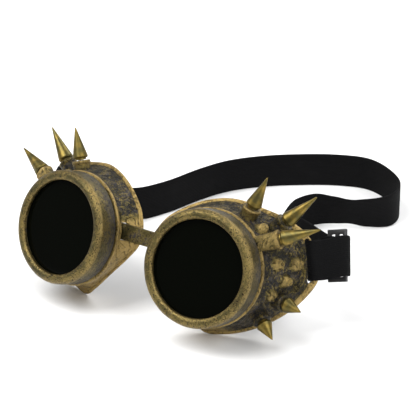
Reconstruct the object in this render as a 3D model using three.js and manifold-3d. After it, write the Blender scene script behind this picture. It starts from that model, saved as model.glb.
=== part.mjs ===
// Spiked welding-style goggles: two screw-capped eye cups on a moulded bridge, with a
// head strap, lying on a table and leaning back on the cups' rear flanges.
//
// Units are millimetres. The finished model stands with +Z up and its lenses facing -Y.
// Each eye cup is drawn once, in its own frame: +X points to the temple, +Y runs back from
// the lens opening to the face and +Z is up. The other cup is its mirror image.

import * as THREE from 'three';
import { mergeVertices } from 'three/addons/utils/BufferGeometryUtils.js';
import Module from 'manifold-3d';

const wasm = await Module();
wasm.setup();

// ---------------------------------------------------------------- driving dimensions

const GAP = 0.3; // between pieces that touch or screw together

// how the cups stand to each other and on the table
const EYE_SPACING = 85; // lens centre to lens centre
const CUP_SPLAY = THREE.MathUtils.degToRad(7); // each cup looks this far outwards
const RECLINE = THREE.MathUtils.degToRad(21); // the whole front leans back this far

// lens, gasket and screw-on bezel
const LENS_DIAMETER = 50;
const LENS_THICKNESS = 3;
const LENS_LIP = 1; // how far the bezel's lip overlaps the lens
const LIP_THICKNESS = 1.6;
const LIP_START = 0.6; // behind the front crest's datum plane
const GASKET_WIDTH = 1.6;
const GASKET_THICKNESS = 1;
const THREAD_STEP = 1.4; // the bezel's thread stands this far outside its lens seat
const THREAD_LENGTH = 4.4;
const BEZEL_WALL = 2.3;
const CREST_RISE = 1.4; // the rounded front stands this far before the lip
const CREST_INSET = 2.1; // its highest ring, from the opening's edge
const CREST_SHOULDER = 3; // it rounds over into the side wall in this depth
const BEZEL_CHAMFER = 0.8; // at the rear edge
const CREST_STEPS = 3; // facets in each quarter of the rounded front

// eye cup
const NECK_WALL = 2.9;
const RIDGE_WIDTH = 1.5;
const RIDGE_PROUD = 0.6; // beyond the bezel
const BARREL_INSET = 0.8; // the barrel is this much slimmer than the bezel
const RIDGE_CHAMFER = 0.3;
const CUP_WALL = 2.6; // measured across the cup's axis
const TEMPLE_REACH = 46.8; // rear flange, from the cup's axis
const NASAL_REACH = 36;
const CROWN_RISE = 33.3;
const CHEEK_DROP = 33.6;
const FACE_DEPTH = 30.4; // rear flange behind the lens opening, on the cup's axis
const FACE_SLANT = 0.208; // further back for each millimetre towards the temple
const FLARE_EASE = 1.25; // above 1 the wall starts straight and then flares
const RIM_WIDTH = 3.2;
const RIM_PROUD = 1.1;
const RIM_TUCK = 0.3; // the rim's rear edge turns in by this much
const KNOB_RADIUS = 2.8;

// studs: the screw-on spikes and what holds them
const BOSS_RADIUS = 4.4;
const COLLAR_PROUD = 0.4;
const COLLAR_HEIGHT = 1.3;
const SCREW_RADIUS = 1.45;
const SCREW_HEAD_RADIUS = 3;
const SCREW_HEAD_HEIGHT = 1.7;
const SCREW_HEAD_CHAMFER = 0.6;
const SCREW_GRIP = 4.5; // thread inside the spike
const PAD_THICKNESS = 1.2; // under each screw head, inside the cup
const NECK_RADIUS = 2.9;
const NECK_HEIGHT = 0.9;
const SPIKE_RADIUS = 4;
const TALL_SPIKE = 20.5;
const BROW_SPIKE = 17;
const SHORT_SPIKE = 10.5;
const SPIKE_BUTT = 0.9; // the spike widens over this height before it tapers
const BUTT_INSET = 0.3;
const TIP_RADIUS = 0.35;

// bridge
const BRIDGE_HEIGHT = 8;
const BRIDGE_THICKNESS = 2.4;
const BRIDGE_RISE = 5.2; // centre line above the lens centres
const BRIDGE_SETBACK = 3.2; // centre line behind the ridge ring
const TEE_HEIGHT = 12.4; // the heads that catch inside the cups
const TEE_THICKNESS = 2;
const TEE_CLEARANCE = 3.2; // between a head and the neck's bore line
const BRIDGE_STRAIGHT = 2.5; // each end leaves its cup square, for this length
const BRIDGE_FIT = 0.4;

// strap and slider
const STRAP_WIDTH = 20;
const STRAP_THICKNESS = 1.2;
const SLOT_STATION = 0.86; // along the cup's flared wall, 0 at the barrel and 1 at the rim
const SLOT_ANGLE = THREE.MathUtils.degToRad(73); // from straight up, towards the temple
const SLOT_FIT = 1; // at each end of the slot
const SLOT_WIDTH = 2.7;
const SLOT_TILT = THREE.MathUtils.degToRad(6); // its upper end is further back
const SLIDER_SETBACK = 18.6; // slider's outer bar behind the slot
const BAR_PITCH = 4.4;
const BAR_WIDTH = 1.8;
const SLIDER_THICKNESS = 2;
const SLIDER_RAIL = 2.4;
const SLIDER_FIT = 0.6; // spare room beside the strap, at each end
const SLIDER_LIFT = 3; // the slider's middle above the slot's, along its bars
const STRAP_SETTLE = 0.3; // the strap lies this far below the slider's middle
const STRAP_EASE = 0.6; // how far the strap cuts the corner where it bends
const STRAP_LEAD = 6; // straight run beside a slot
const STRAP_LEAN = THREE.MathUtils.degToRad(20); // top forward, in the bend behind the slider
const SEWN_TAIL = 16; // folded-back end, sewn inside the strap behind the right cup

// facets
const ROUND = 56;
const STUD_ROUND = 18;
const SCREW_ROUND = 12;
const CUTTER_REACH = 16; // how far a slot's cutting block runs through the wall
const OVERRUN = 1; // how far a cut runs past the face it opens
const STRAP_STEPS = 3; // facets between two stops of the strap's route

// ---------------------------------------------------------------- derived sizes

const lensRadius = LENS_DIAMETER / 2;
const openingRadius = lensRadius - LENS_LIP;
const seatRadius = lensRadius + GAP;
const threadRadius = seatRadius + THREAD_STEP;
const bezelRadius = threadRadius + BEZEL_WALL;
const neckRadius = threadRadius - GAP;
const boreRadius = neckRadius - NECK_WALL;
const barrelRadius = bezelRadius - BARREL_INSET;
const ridgeRadius = bezelRadius + RIDGE_PROUD;

const lipBack = LIP_START + LIP_THICKNESS;
const lensFront = lipBack + GAP;
const lensBack = lensFront + LENS_THICKNESS;
const gasketFront = lensBack + GAP;
const gasketBack = gasketFront + GASKET_THICKNESS;
const neckFront = gasketBack + GAP;
const bezelBack = neckFront + THREAD_LENGTH;
const ridgeFront = bezelBack + 3 * GAP;
const barrelFront = ridgeFront + RIDGE_WIDTH;

const screwHoleRadius = SCREW_RADIUS + GAP;
const bandPitch = STRAP_THICKNESS + GAP; // strap layers that lie on each other

// ---------------------------------------------------------------- materials

const finishes = {
  antiqueBrass: { color: 0x8d7440, roughness: 0.42, metalness: 0.75 },
  spikeBrass: { color: 0x9c8148, roughness: 0.32, metalness: 0.85 },
  agedShell: { color: 0x5d5140, roughness: 0.55, metalness: 0.5 },
  darkGlass: { color: 0x060806, roughness: 0.08, metalness: 0 },
  rubber: { color: 0x141414, roughness: 0.8, metalness: 0 },
  steel: { color: 0x8e8c86, roughness: 0.35, metalness: 0.9 },
  elastic: { color: 0x111112, roughness: 0.9, metalness: 0 },
  blackPlastic: { color: 0x17171a, roughness: 0.4, metalness: 0 },
};

function piece(name, geometry, finish) {
  const mesh = new THREE.Mesh(geometry, new THREE.MeshStandardMaterial(finishes[finish]));
  mesh.name = name;
  return mesh;
}

// ---------------------------------------------------------------- solids

function welded(geometry) {
  const bare = geometry.clone();
  bare.deleteAttribute('normal');
  bare.deleteAttribute('uv');
  return mergeVertices(bare, 1e-4);
}

function solid(geometry) {
  const merged = welded(geometry);
  const vertProperties = new Float32Array(merged.attributes.position.array);
  const triVerts = new Uint32Array(merged.index.array);
  return new wasm.Manifold(new wasm.Mesh({ numProp: 3, vertProperties, triVerts }));
}

function geometryOf(body) {
  const mesh = body.getMesh();
  const geometry = new THREE.BufferGeometry();
  geometry.setAttribute('position', new THREE.BufferAttribute(mesh.vertProperties, 3));
  geometry.setIndex(new THREE.BufferAttribute(mesh.triVerts, 1));
  return geometry;
}

// the mirror image in X, with its triangles turned over so that they still face outwards
function mirrored(geometry) {
  const copy = welded(geometry);
  copy.scale(-1, 1, 1);
  const index = copy.index.array;
  for (let i = 0; i < index.length; i += 3) {
    [index[i + 1], index[i + 2]] = [index[i + 2], index[i + 1]];
  }
  return copy;
}

// a turned piece about +Y, from [radius, height] pairs
function turned(profile, segments) {
  const points = profile.map(([radius, height]) => new THREE.Vector2(radius, height));
  return new THREE.LatheGeometry(points, segments);
}

// a piece drawn about +Y, moved so that its origin is at a point and +Y runs along a direction
function aimed(geometry, origin, direction) {
  const turn = new THREE.Quaternion().setFromUnitVectors(new THREE.Vector3(0, 1, 0), direction);
  const place = new THREE.Matrix4().compose(origin, turn, new THREE.Vector3(1, 1, 1));
  return geometry.clone().applyMatrix4(place);
}

// a placement from three square directions and a point, never a mirror image
function uprightBasis(across, deep, up, origin) {
  const basis = new THREE.Matrix4().makeBasis(across, deep, up);
  if (basis.determinant() < 0) {
    basis.makeBasis(across.clone().negate(), deep, up);
  }
  return basis.setPosition(origin);
}

// a drum with caps at both ends whose side rows are laid on a surface, rear row first
function rowedDrum(rows, placeRow) {
  const drum = new THREE.CylinderGeometry(1, 1, 1, ROUND, rows.length - 1);
  const at = drum.attributes.position;
  for (let i = 0; i < at.count; i += 1) {
    const row = rows[Math.round((0.5 - at.getY(i)) * (rows.length - 1))];
    const angle = Math.atan2(at.getX(i), at.getZ(i));
    const share = Math.hypot(at.getX(i), at.getZ(i));
    const [radius, depth, axisDepth] = placeRow(row, angle);
    at.setXYZ(
      i,
      share * radius * Math.sin(angle),
      share > 0.5 ? depth : axisDepth,
      share * radius * Math.cos(angle),
    );
  }
  return drum;
}

// ---------------------------------------------------------------- the cup's flared wall

// Outline of the rear flange, as shares of its reach to the temple (+x), to the nose (-x),
// up and down. The lower nasal side is nearly straight, where the cup clears the cheek.
const flangeOutline = new THREE.CatmullRomCurve3([
  [0, 1], [0.3, 0.96], [0.56, 0.89], [0.8, 0.73], [0.96, 0.43], [1, 0.13],
  [0.92, -0.15], [0.73, -0.49], [0.45, -0.79], [0.17, -0.96],
  [-0.06, -1], [-0.22, -0.86], [-0.5, -0.54], [-0.78, -0.25], [-0.97, -0.01],
  [-1, 0.21], [-0.89, 0.48], [-0.61, 0.75], [-0.31, 0.92],
].map(([x, y]) => new THREE.Vector3(
  x * (x > 0 ? TEMPLE_REACH : NASAL_REACH),
  y * (y > 0 ? CROWN_RISE : CHEEK_DROP),
  0,
)), true);

const outlineSamples = flangeOutline.getPoints(720).map((p) => ({
  angle: Math.atan2(p.x, p.y),
  radius: Math.hypot(p.x, p.y),
})).sort((a, b) => a.angle - b.angle);

function flangeRadius(angle) {
  const wanted = Math.atan2(Math.sin(angle), Math.cos(angle));
  const next = outlineSamples.findIndex((s) => s.angle >= wanted);
  const above = outlineSamples[Math.max(next, 0)];
  const below = outlineSamples[(Math.max(next, 0) + outlineSamples.length - 1) % outlineSamples.length];
  const span = above.angle - below.angle;
  const share = span > 0 ? (wanted - below.angle) / span : 1;
  return below.radius + (above.radius - below.radius) * share;
}

// radius and depth of the outer wall, from the barrel (station 0) to the rim (station 1)
function wallAt(station, angle, proud = 0) {
  const rim = flangeRadius(angle);
  const rimDepth = FACE_DEPTH + FACE_SLANT * rim * Math.sin(angle);
  const ease = Math.sign(station) * Math.abs(station) ** FLARE_EASE;
  const radius = barrelRadius + (rim - barrelRadius) * ease + proud;
  const depth = barrelFront + (rimDepth - barrelFront) * station;
  return [radius, depth, barrelFront + (FACE_DEPTH - barrelFront) * station];
}

function wallPoint(station, angle, proud = 0) {
  const [radius, depth] = wallAt(station, angle, proud);
  return new THREE.Vector3(radius * Math.sin(angle), depth, radius * Math.cos(angle));
}

function wallFrame(station, angle) {
  const step = 0.01;
  const back = wallPoint(station + step, angle).sub(wallPoint(station - step, angle)).normalize();
  const round = wallPoint(station, angle + step).sub(wallPoint(station, angle - step)).normalize();
  const outward = new THREE.Vector3().crossVectors(back, round).normalize();
  if (outward.dot(wallPoint(station, angle).setY(0)) < 0) {
    outward.negate();
  }
  return { centre: wallPoint(station, angle), back, round, outward };
}

function wallLength(angle) {
  return wallPoint(1, angle).distanceTo(wallPoint(0, angle));
}

// ---------------------------------------------------------------- studs

// where each spike's axis leaves the wall, which way it points and how far its boss lifts it
const studs = [
  {
    name: 'brow_spike', height: BROW_SPIKE, standoff: 5.07,
    station: 0.43, angle: 21.8, aim: [0.33, -0.17, 0.93],
  },
  {
    name: 'corner_spike', height: TALL_SPIKE, standoff: 5.67,
    station: 0.659, angle: 44.7, aim: [0.66, -0.09, 0.74],
  },
  {
    name: 'temple_spike', height: TALL_SPIKE, standoff: 10.68,
    station: 0.088, angle: 52.9, aim: [0.9, 0.04, 0.44],
  },
  {
    name: 'cheek_spike_rear', height: SHORT_SPIKE, standoff: 4.26,
    station: 0.587, angle: 104.8, aim: [0.93, -0.3, -0.12],
  },
  {
    name: 'cheek_spike_front', height: SHORT_SPIKE, standoff: 4.01,
    station: 0.539, angle: 124.7, aim: [0.74, -0.28, -0.61],
  },
].map((stud) => {
  const frame = wallFrame(stud.station, THREE.MathUtils.degToRad(stud.angle));
  const aim = new THREE.Vector3(...stud.aim).normalize();
  const lean = Math.acos(aim.dot(frame.outward));
  const base = frame.centre.clone().addScaledVector(aim, stud.standoff);
  const wall = CUP_WALL * Math.hypot(frame.outward.x, frame.outward.z) / Math.cos(lean);
  const pad = PAD_THICKNESS + BOSS_RADIUS * Math.tan(lean);
  const depth = stud.standoff + wall + pad;
  return { ...stud, aim, base, depth };
});

function bossGeometry(stud) {
  const collarRadius = BOSS_RADIUS + COLLAR_PROUD;
  const profile = [
    [0, -stud.depth],
    [BOSS_RADIUS, -stud.depth],
    [BOSS_RADIUS, -COLLAR_HEIGHT - COLLAR_PROUD],
    [collarRadius, -COLLAR_HEIGHT],
    [collarRadius, -COLLAR_PROUD],
    [BOSS_RADIUS, 0],
    [0, 0],
  ];
  return aimed(turned(profile, STUD_ROUND), stud.base, stud.aim);
}

function screwHoleGeometry(stud) {
  const length = stud.depth + 2 * OVERRUN + SCREW_HEAD_HEIGHT;
  const hole = new THREE.CylinderGeometry(screwHoleRadius, screwHoleRadius, length, SCREW_ROUND);
  hole.translate(0, OVERRUN - length / 2, 0);
  return aimed(hole, stud.base, stud.aim);
}

function spikeGeometry(height) {
  const holeDepth = SCREW_GRIP + GAP;
  const profile = [
    [0, holeDepth],
    [screwHoleRadius, holeDepth],
    [screwHoleRadius, 0],
    [NECK_RADIUS, 0],
    [NECK_RADIUS, NECK_HEIGHT],
    [SPIKE_RADIUS - BUTT_INSET, NECK_HEIGHT],
    [SPIKE_RADIUS, NECK_HEIGHT + SPIKE_BUTT],
    [TIP_RADIUS, height - TIP_RADIUS],
    [0, height],
  ];
  return turned(profile, STUD_ROUND);
}

function screwGeometry(stud) {
  const shankTop = stud.depth + 2 * GAP + SCREW_GRIP;
  const profile = [
    [0, -SCREW_HEAD_HEIGHT],
    [SCREW_HEAD_RADIUS - SCREW_HEAD_CHAMFER, -SCREW_HEAD_HEIGHT],
    [SCREW_HEAD_RADIUS, SCREW_HEAD_CHAMFER - SCREW_HEAD_HEIGHT],
    [SCREW_HEAD_RADIUS, 0],
    [SCREW_RADIUS, 0],
    [SCREW_RADIUS, shankTop],
    [0, shankTop],
  ];
  return turned(profile, SCREW_ROUND);
}

// ---------------------------------------------------------------- eye cup

// small moulded lumps scattered over the temple side, as station along the wall and angle
const knobs = [[0.3, 74], [0.6, 75], [0.47, 88], [0.35, 102], [0.32, 40]];

function cupOutside() {
  const rim = RIM_WIDTH / wallLength(SLOT_ANGLE);
  const rows = [
    { station: 1, proud: -RIM_TUCK },
    { station: 1 - 0.12 * rim, proud: 0.6 * RIM_PROUD },
    { station: 1 - 0.5 * rim, proud: RIM_PROUD },
    { station: 1 - 0.88 * rim, proud: 0.6 * RIM_PROUD },
    { station: 1 - rim, proud: 0 },
    { station: 0.75, proud: 0 },
    { station: 0.55, proud: 0 },
    { station: 0.35, proud: 0 },
    { station: 0.17, proud: 0 },
    { station: 0, proud: 0 },
    { radius: ridgeRadius - RIDGE_CHAMFER, depth: barrelFront },
    { radius: ridgeRadius, depth: barrelFront - RIDGE_CHAMFER },
    { radius: ridgeRadius, depth: ridgeFront + RIDGE_CHAMFER },
    { radius: ridgeRadius - RIDGE_CHAMFER, depth: ridgeFront },
    { radius: neckRadius, depth: ridgeFront },
    { radius: neckRadius, depth: neckFront },
  ];
  return rowedDrum(rows, placeCupRow);
}

function cupInside() {
  const rows = [
    { station: 1.08, proud: -CUP_WALL },
    { station: 1, proud: -CUP_WALL },
    { station: 0.75, proud: -CUP_WALL },
    { station: 0.5, proud: -CUP_WALL },
    { station: 0.25, proud: -CUP_WALL },
    { station: 0, proud: -CUP_WALL },
    { radius: boreRadius, depth: barrelFront },
    { radius: boreRadius, depth: neckFront - OVERRUN },
  ];
  return rowedDrum(rows, placeCupRow);
}

function placeCupRow(row, angle) {
  if (row.station === undefined) {
    return [row.radius, row.depth, row.depth];
  }
  return wallAt(row.station, angle, row.proud);
}

function tiltedSlotFrame() {
  const frame = wallFrame(SLOT_STATION, SLOT_ANGLE);
  if (frame.round.z < 0) {
    frame.round.negate();
  }
  const towardsBack = Math.sign(frame.round.clone().cross(frame.back).dot(frame.outward));
  frame.round.applyAxisAngle(frame.outward, towardsBack * SLOT_TILT);
  frame.back.addScaledVector(frame.round, -frame.back.dot(frame.round)).normalize();
  return frame;
}

const slotFrame = tiltedSlotFrame();

function strapSlotGeometry() {
  const length = STRAP_WIDTH + 2 * SLOT_FIT;
  const box = new THREE.BoxGeometry(CUTTER_REACH, SLOT_WIDTH, length);
  const { outward, back, round, centre } = slotFrame;
  return box.applyMatrix4(uprightBasis(outward, back, round, centre));
}

const bridgeDepth = barrelFront + BRIDGE_SETBACK;

function bridgeSlotGeometry() {
  const width = BRIDGE_THICKNESS + 2 * BRIDGE_FIT;
  const height = BRIDGE_HEIGHT + 2 * BRIDGE_FIT;
  const box = new THREE.BoxGeometry(CUTTER_REACH, width, height);
  return box.translate(-barrelRadius, bridgeDepth, BRIDGE_RISE);
}

function cupGeometry() {
  let cup = solid(cupOutside()).subtract(solid(cupInside()));
  for (const stud of studs) {
    cup = cup.add(solid(bossGeometry(stud)).trimByPlane([0, 1, 0], ridgeFront));
  }
  for (const [station, angle] of knobs) {
    const knob = new THREE.SphereGeometry(KNOB_RADIUS, 10, 6);
    knob.translate(...wallPoint(station, THREE.MathUtils.degToRad(angle)).toArray());
    cup = cup.add(solid(knob).subtract(solid(cupInside())));
  }
  for (const stud of studs) {
    cup = cup.subtract(solid(screwHoleGeometry(stud)));
  }
  cup = cup.subtract(solid(strapSlotGeometry()));
  cup = cup.subtract(solid(bridgeSlotGeometry()));
  return geometryOf(cup);
}

// ---------------------------------------------------------------- bezel, lens and gasket

// the rounded front of the bezel: up from the opening to its highest ring, then down
function crestProfile() {
  const crestRadius = openingRadius + CREST_INSET;
  const front = LIP_START - CREST_RISE;
  const quarter = Math.PI / 2 / CREST_STEPS;
  const inner = [];
  const outer = [];
  for (let i = 0; i < CREST_STEPS; i += 1) {
    const rise = i * quarter;
    const fall = (i + 1) * quarter;
    inner.push([crestRadius - CREST_INSET * Math.cos(rise), LIP_START - CREST_RISE * Math.sin(rise)]);
    outer.push([
      crestRadius + (bezelRadius - crestRadius) * Math.sin(fall),
      front + CREST_SHOULDER * (1 - Math.cos(fall)),
    ]);
  }
  return [...inner, [crestRadius, front], ...outer];
}

function bezelGeometry() {
  const profile = [
    ...crestProfile(),
    [bezelRadius, bezelBack - BEZEL_CHAMFER],
    [bezelRadius - BEZEL_CHAMFER, bezelBack],
    [threadRadius, bezelBack],
    [threadRadius, gasketFront],
    [seatRadius, gasketFront],
    [seatRadius, lipBack],
    [openingRadius, lipBack],
    [openingRadius, LIP_START],
  ];
  return turned(profile, ROUND);
}

// the front face is divided inside the bezel's opening, so that its middle lies free of the lip
function lensGeometry() {
  const profile = [
    [0, lensFront],
    [openingRadius - OVERRUN, lensFront],
    [lensRadius, lensFront],
    [lensRadius, lensBack],
    [0, lensBack],
  ];
  return turned(profile, ROUND);
}

function gasketGeometry() {
  const inner = lensRadius - GASKET_WIDTH;
  const profile = [
    [inner, gasketFront],
    [lensRadius, gasketFront],
    [lensRadius, gasketBack],
    [inner, gasketBack],
    [inner, gasketFront],
  ];
  return turned(profile, ROUND);
}

// ---------------------------------------------------------------- bridge

// where the bridge leaves each cup, in the frame that both cups stand in
function bridgeEnd(side, outward) {
  const spot = new THREE.Vector3(side * outward, bridgeDepth, BRIDGE_RISE);
  spot.applyAxisAngle(new THREE.Vector3(0, 0, 1), side * CUP_SPLAY);
  spot.x += side * EYE_SPACING / 2;
  return spot;
}

function plate(from, to, thickness, height) {
  const run = to.clone().sub(from);
  const box = new THREE.BoxGeometry(run.length(), thickness, height);
  box.rotateZ(Math.atan2(run.y, run.x));
  const middle = from.clone().add(to).multiplyScalar(0.5);
  return box.translate(middle.x, middle.y, middle.z);
}

function bridgeGeometry() {
  const teeInner = boreRadius - TEE_CLEARANCE;
  const bend = bridgeEnd(1, -barrelRadius - BRIDGE_STRAIGHT);
  const opposite = bend.clone().setX(-bend.x);
  const overlap = new THREE.Vector3(0.2, 0, 0);
  let bridge = solid(plate(
    opposite.clone().sub(overlap),
    bend.clone().add(overlap),
    BRIDGE_THICKNESS,
    BRIDGE_HEIGHT,
  ));
  for (const side of [-1, 1]) {
    const arm = plate(
      bridgeEnd(side, -barrelRadius - BRIDGE_STRAIGHT),
      bridgeEnd(side, -teeInner),
      BRIDGE_THICKNESS,
      BRIDGE_HEIGHT,
    );
    const tee = plate(
      bridgeEnd(side, -teeInner),
      bridgeEnd(side, -teeInner + TEE_THICKNESS),
      BRIDGE_THICKNESS,
      TEE_HEIGHT,
    );
    bridge = bridge.add(solid(arm)).add(solid(tee));
  }
  return geometryOf(bridge);
}

// ---------------------------------------------------------------- assembly of the front

const goggles = new THREE.Group();
const front = new THREE.Group();
front.rotation.x = -RECLINE;
goggles.add(front);

const sides = [
  { name: 'left', sign: 1 },
  { name: 'right', sign: -1 },
];
const shapes = {
  cup: cupGeometry(),
  bezel: bezelGeometry(),
  lens: lensGeometry(),
  gasket: gasketGeometry(),
};

function placeAlong(mesh, stud, sign, offset) {
  const spot = stud.base.clone().addScaledVector(stud.aim, offset);
  const aim = stud.aim.clone();
  spot.x *= sign;
  aim.x *= sign;
  mesh.position.copy(spot);
  mesh.quaternion.setFromUnitVectors(new THREE.Vector3(0, 1, 0), aim);
  return mesh;
}

for (const side of sides) {
  const cup = new THREE.Group();
  cup.position.x = side.sign * EYE_SPACING / 2;
  cup.rotation.z = side.sign * CUP_SPLAY;
  const shell = side.sign > 0 ? shapes.cup : mirrored(shapes.cup);
  cup.add(piece(`${side.name}_cup`, shell, 'agedShell'));
  cup.add(piece(`${side.name}_bezel`, shapes.bezel.clone(), 'antiqueBrass'));
  cup.add(piece(`${side.name}_lens`, shapes.lens.clone(), 'darkGlass'));
  cup.add(piece(`${side.name}_gasket`, shapes.gasket.clone(), 'rubber'));
  for (const stud of studs) {
    const spike = piece(`${side.name}_${stud.name}`, spikeGeometry(stud.height), 'spikeBrass');
    cup.add(placeAlong(spike, stud, side.sign, GAP));
    const screw = piece(`${side.name}_${stud.name}_screw`, screwGeometry(stud), 'steel');
    cup.add(placeAlong(screw, stud, side.sign, -stud.depth - GAP));
  }
  front.add(cup);
  side.group = cup;
}
front.add(piece('bridge', bridgeGeometry(), 'antiqueBrass'));

goggles.updateMatrixWorld(true);
const table = new THREE.Box3().setFromObject(goggles, true).min.z;

// ---------------------------------------------------------------- strap

// a slot's frame on the table, for either cup
function slotOnTable(side) {
  const flip = (v) => new THREE.Vector3(v.x * side.sign, v.y, v.z);
  const turn = new THREE.Matrix3().setFromMatrix4(side.group.matrixWorld);
  return {
    centre: flip(slotFrame.centre).applyMatrix4(side.group.matrixWorld),
    back: flip(slotFrame.back).applyMatrix3(turn),
    outward: flip(slotFrame.outward).applyMatrix3(turn),
    up: flip(slotFrame.round).applyMatrix3(turn),
  };
}

const leftSlot = slotOnTable(sides[0]);
const rightSlot = slotOnTable(sides[1]);

// a stop on the strap's route: a point and the direction of the strap's width there
function stopAt(slot, back, outward) {
  const spot = slot.centre.clone();
  spot.addScaledVector(slot.back, back).addScaledVector(slot.outward, outward);
  return { spot, up: slot.up };
}

// both layers hug the bar that the flange's rim makes behind the slot
const outerLayer = RIM_PROUD + 2 * GAP + STRAP_THICKNESS / 2;
const innerLayer = -CUP_WALL - 2 * STRAP_THICKNESS;
const inSlot = SLOT_WIDTH / 2 - GAP - STRAP_THICKNESS / 2;
const slotBend = 2;
const throughSlot = [
  [inSlot + STRAP_LEAD, outerLayer],
  [inSlot + slotBend, outerLayer],
  [inSlot + STRAP_EASE, outerLayer - STRAP_EASE],
  [inSlot, outerLayer - slotBend],
  [inSlot, innerLayer + slotBend],
  [inSlot + STRAP_EASE, innerLayer + STRAP_EASE],
  [inSlot + slotBend, innerLayer],
  [inSlot + STRAP_LEAD, innerLayer],
];

// the slider's plane holds the strap's width and runs inwards, behind the cup
const sliderUp = new THREE.Vector3(-0.28, 0.41, 0.87).normalize();
const sliderAcross = new THREE.Vector3(-1, 0.1, 0);
sliderAcross.addScaledVector(sliderUp, -sliderAcross.dot(sliderUp)).normalize();
const sliderBack = new THREE.Vector3().crossVectors(sliderAcross, sliderUp).normalize();
if (sliderBack.y < 0) {
  sliderBack.negate();
}
const outerRun = new THREE.Vector3(0.61, 0.79, 0);
outerRun.addScaledVector(sliderUp, -outerRun.dot(sliderUp)).normalize();
const outerBar = leftSlot.centre.clone().addScaledVector(outerRun, SLIDER_SETBACK);
outerBar.addScaledVector(sliderUp, SLIDER_LIFT);

function stopAtSlider(across, back) {
  const spot = outerBar.clone();
  spot.addScaledVector(sliderAcross, across).addScaledVector(sliderBack, back);
  spot.addScaledVector(sliderUp, -STRAP_SETTLE);
  return { spot, up: sliderUp };
}

const wrap = BAR_WIDTH / 2 + GAP + STRAP_THICKNESS / 2;
const hugging = SLIDER_THICKNESS / 2 + GAP + STRAP_THICKNESS / 2;

// sewn end: round the slider's middle bar, then forward to the cup
const sewnLoop = [
  stopAtSlider(BAR_PITCH - wrap + 0.1, -hugging - 2.6),
  stopAtSlider(BAR_PITCH - wrap, -hugging + 0.6),
  stopAtSlider(BAR_PITCH - wrap, hugging - 1.1),
  stopAtSlider(BAR_PITCH - wrap + 1, hugging),
  stopAtSlider(BAR_PITCH + wrap - 1, hugging),
  stopAtSlider(BAR_PITCH + wrap, hugging - 1.1),
  stopAtSlider(BAR_PITCH + wrap, -hugging + 0.6),
  stopAtSlider(BAR_PITCH + wrap - 0.1, -hugging - 2.6),
];

// round the outer bar and back across the slider's rear face
const runningTurn = [
  stopAtSlider(-wrap + 0.4, -hugging - 1.2),
  stopAtSlider(-wrap, 0),
  stopAtSlider(-wrap + 0.9, hugging + 0.2),
  stopAtSlider(BAR_PITCH / 2, hugging + 0.9 * bandPitch),
  stopAtSlider(BAR_PITCH + wrap, hugging + 1.2 * bandPitch),
  stopAtSlider(2 * BAR_PITCH + wrap, hugging + 0.9 * bandPitch),
];

// The long run, from behind the left cup round to the right one. Each stop is a share of the
// way from the right slot to the left one, a distance behind them, how far it has come down
// from the slots (0) to the table (1), and how much of the lean it has (0 where not given).
const longRun = [
  [0.85, 27, 0.1], [0.79, 37, 0.34], [0.72, 51, 0.64], [0.65, 67, 0.88], [0.595, 83, 1], [0.575, 98, 1],
  [0.605, 112, 1, 0.3], [0.675, 118, 1, 1], [0.76, 123, 1, 1], [0.825, 134, 1, 0.4],
  [0.81, 150, 1], [0.71, 166, 1],
  [0.6, 173, 1], [0.49, 168, 1], [0.38, 157, 1], [0.27, 142, 1], [0.185, 124, 1], [0.14, 103, 1],
  [0.11, 80, 1], [0.06, 60, 0.98], [0.01, 44, 0.8], [-0.03, 29, 0.42], [-0.045, 17, 0.14],
].map(([across, behind, drop, lean = 0]) => {
  const spot = rightSlot.centre.clone().lerp(leftSlot.centre, across);
  const high = spot.z;
  spot.y += behind;
  spot.z = THREE.MathUtils.lerp(high, table + STRAP_WIDTH / 2, drop);
  const near = across > 0.5 ? leftSlot.up : rightSlot.up;
  const upright = new THREE.Vector3(0, -Math.sin(STRAP_LEAN * lean), Math.cos(STRAP_LEAN * lean));
  const up = near.clone().lerp(upright, Math.min(1, 1.1 * drop)).normalize();
  return { spot, up };
});

const strapStops = [
  ...sewnLoop,
  ...throughSlot.slice().reverse().map(([back, outward]) => stopAt(leftSlot, back, outward)),
  ...runningTurn,
  ...longRun,
  ...throughSlot.map(([back, outward]) => stopAt(rightSlot, back, outward)),
  stopAt(rightSlot, SEWN_TAIL, innerLayer + STRAP_EASE),
];

// a flat band along the stops: a box, drawn out along X, whose cross-sections are moved there
function bandGeometry(stops, thickness, width) {
  const path = new THREE.CatmullRomCurve3(stops.map((s) => s.spot), false, 'centripetal');
  const lean = new THREE.CatmullRomCurve3(stops.map((s) => s.up), false, 'centripetal');
  const steps = (stops.length - 1) * STRAP_STEPS;
  const band = new THREE.BoxGeometry(1, thickness, width, steps, 1, 1);
  const at = band.attributes.position;
  for (let i = 0; i < at.count; i += 1) {
    const share = Math.round((at.getX(i) + 0.5) * steps) / steps;
    const along = path.getTangent(share);
    const up = lean.getPoint(share);
    up.addScaledVector(along, -up.dot(along)).normalize();
    const face = new THREE.Vector3().crossVectors(up, along);
    const spot = path.getPoint(share);
    spot.addScaledVector(face, at.getY(i)).addScaledVector(up, at.getZ(i));
    at.setXYZ(i, spot.x, spot.y, spot.z);
  }
  return band;
}

const strap = bandGeometry(strapStops, STRAP_THICKNESS, STRAP_WIDTH);
goggles.add(piece('strap', strap, 'elastic'));

// ---------------------------------------------------------------- slider

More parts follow.
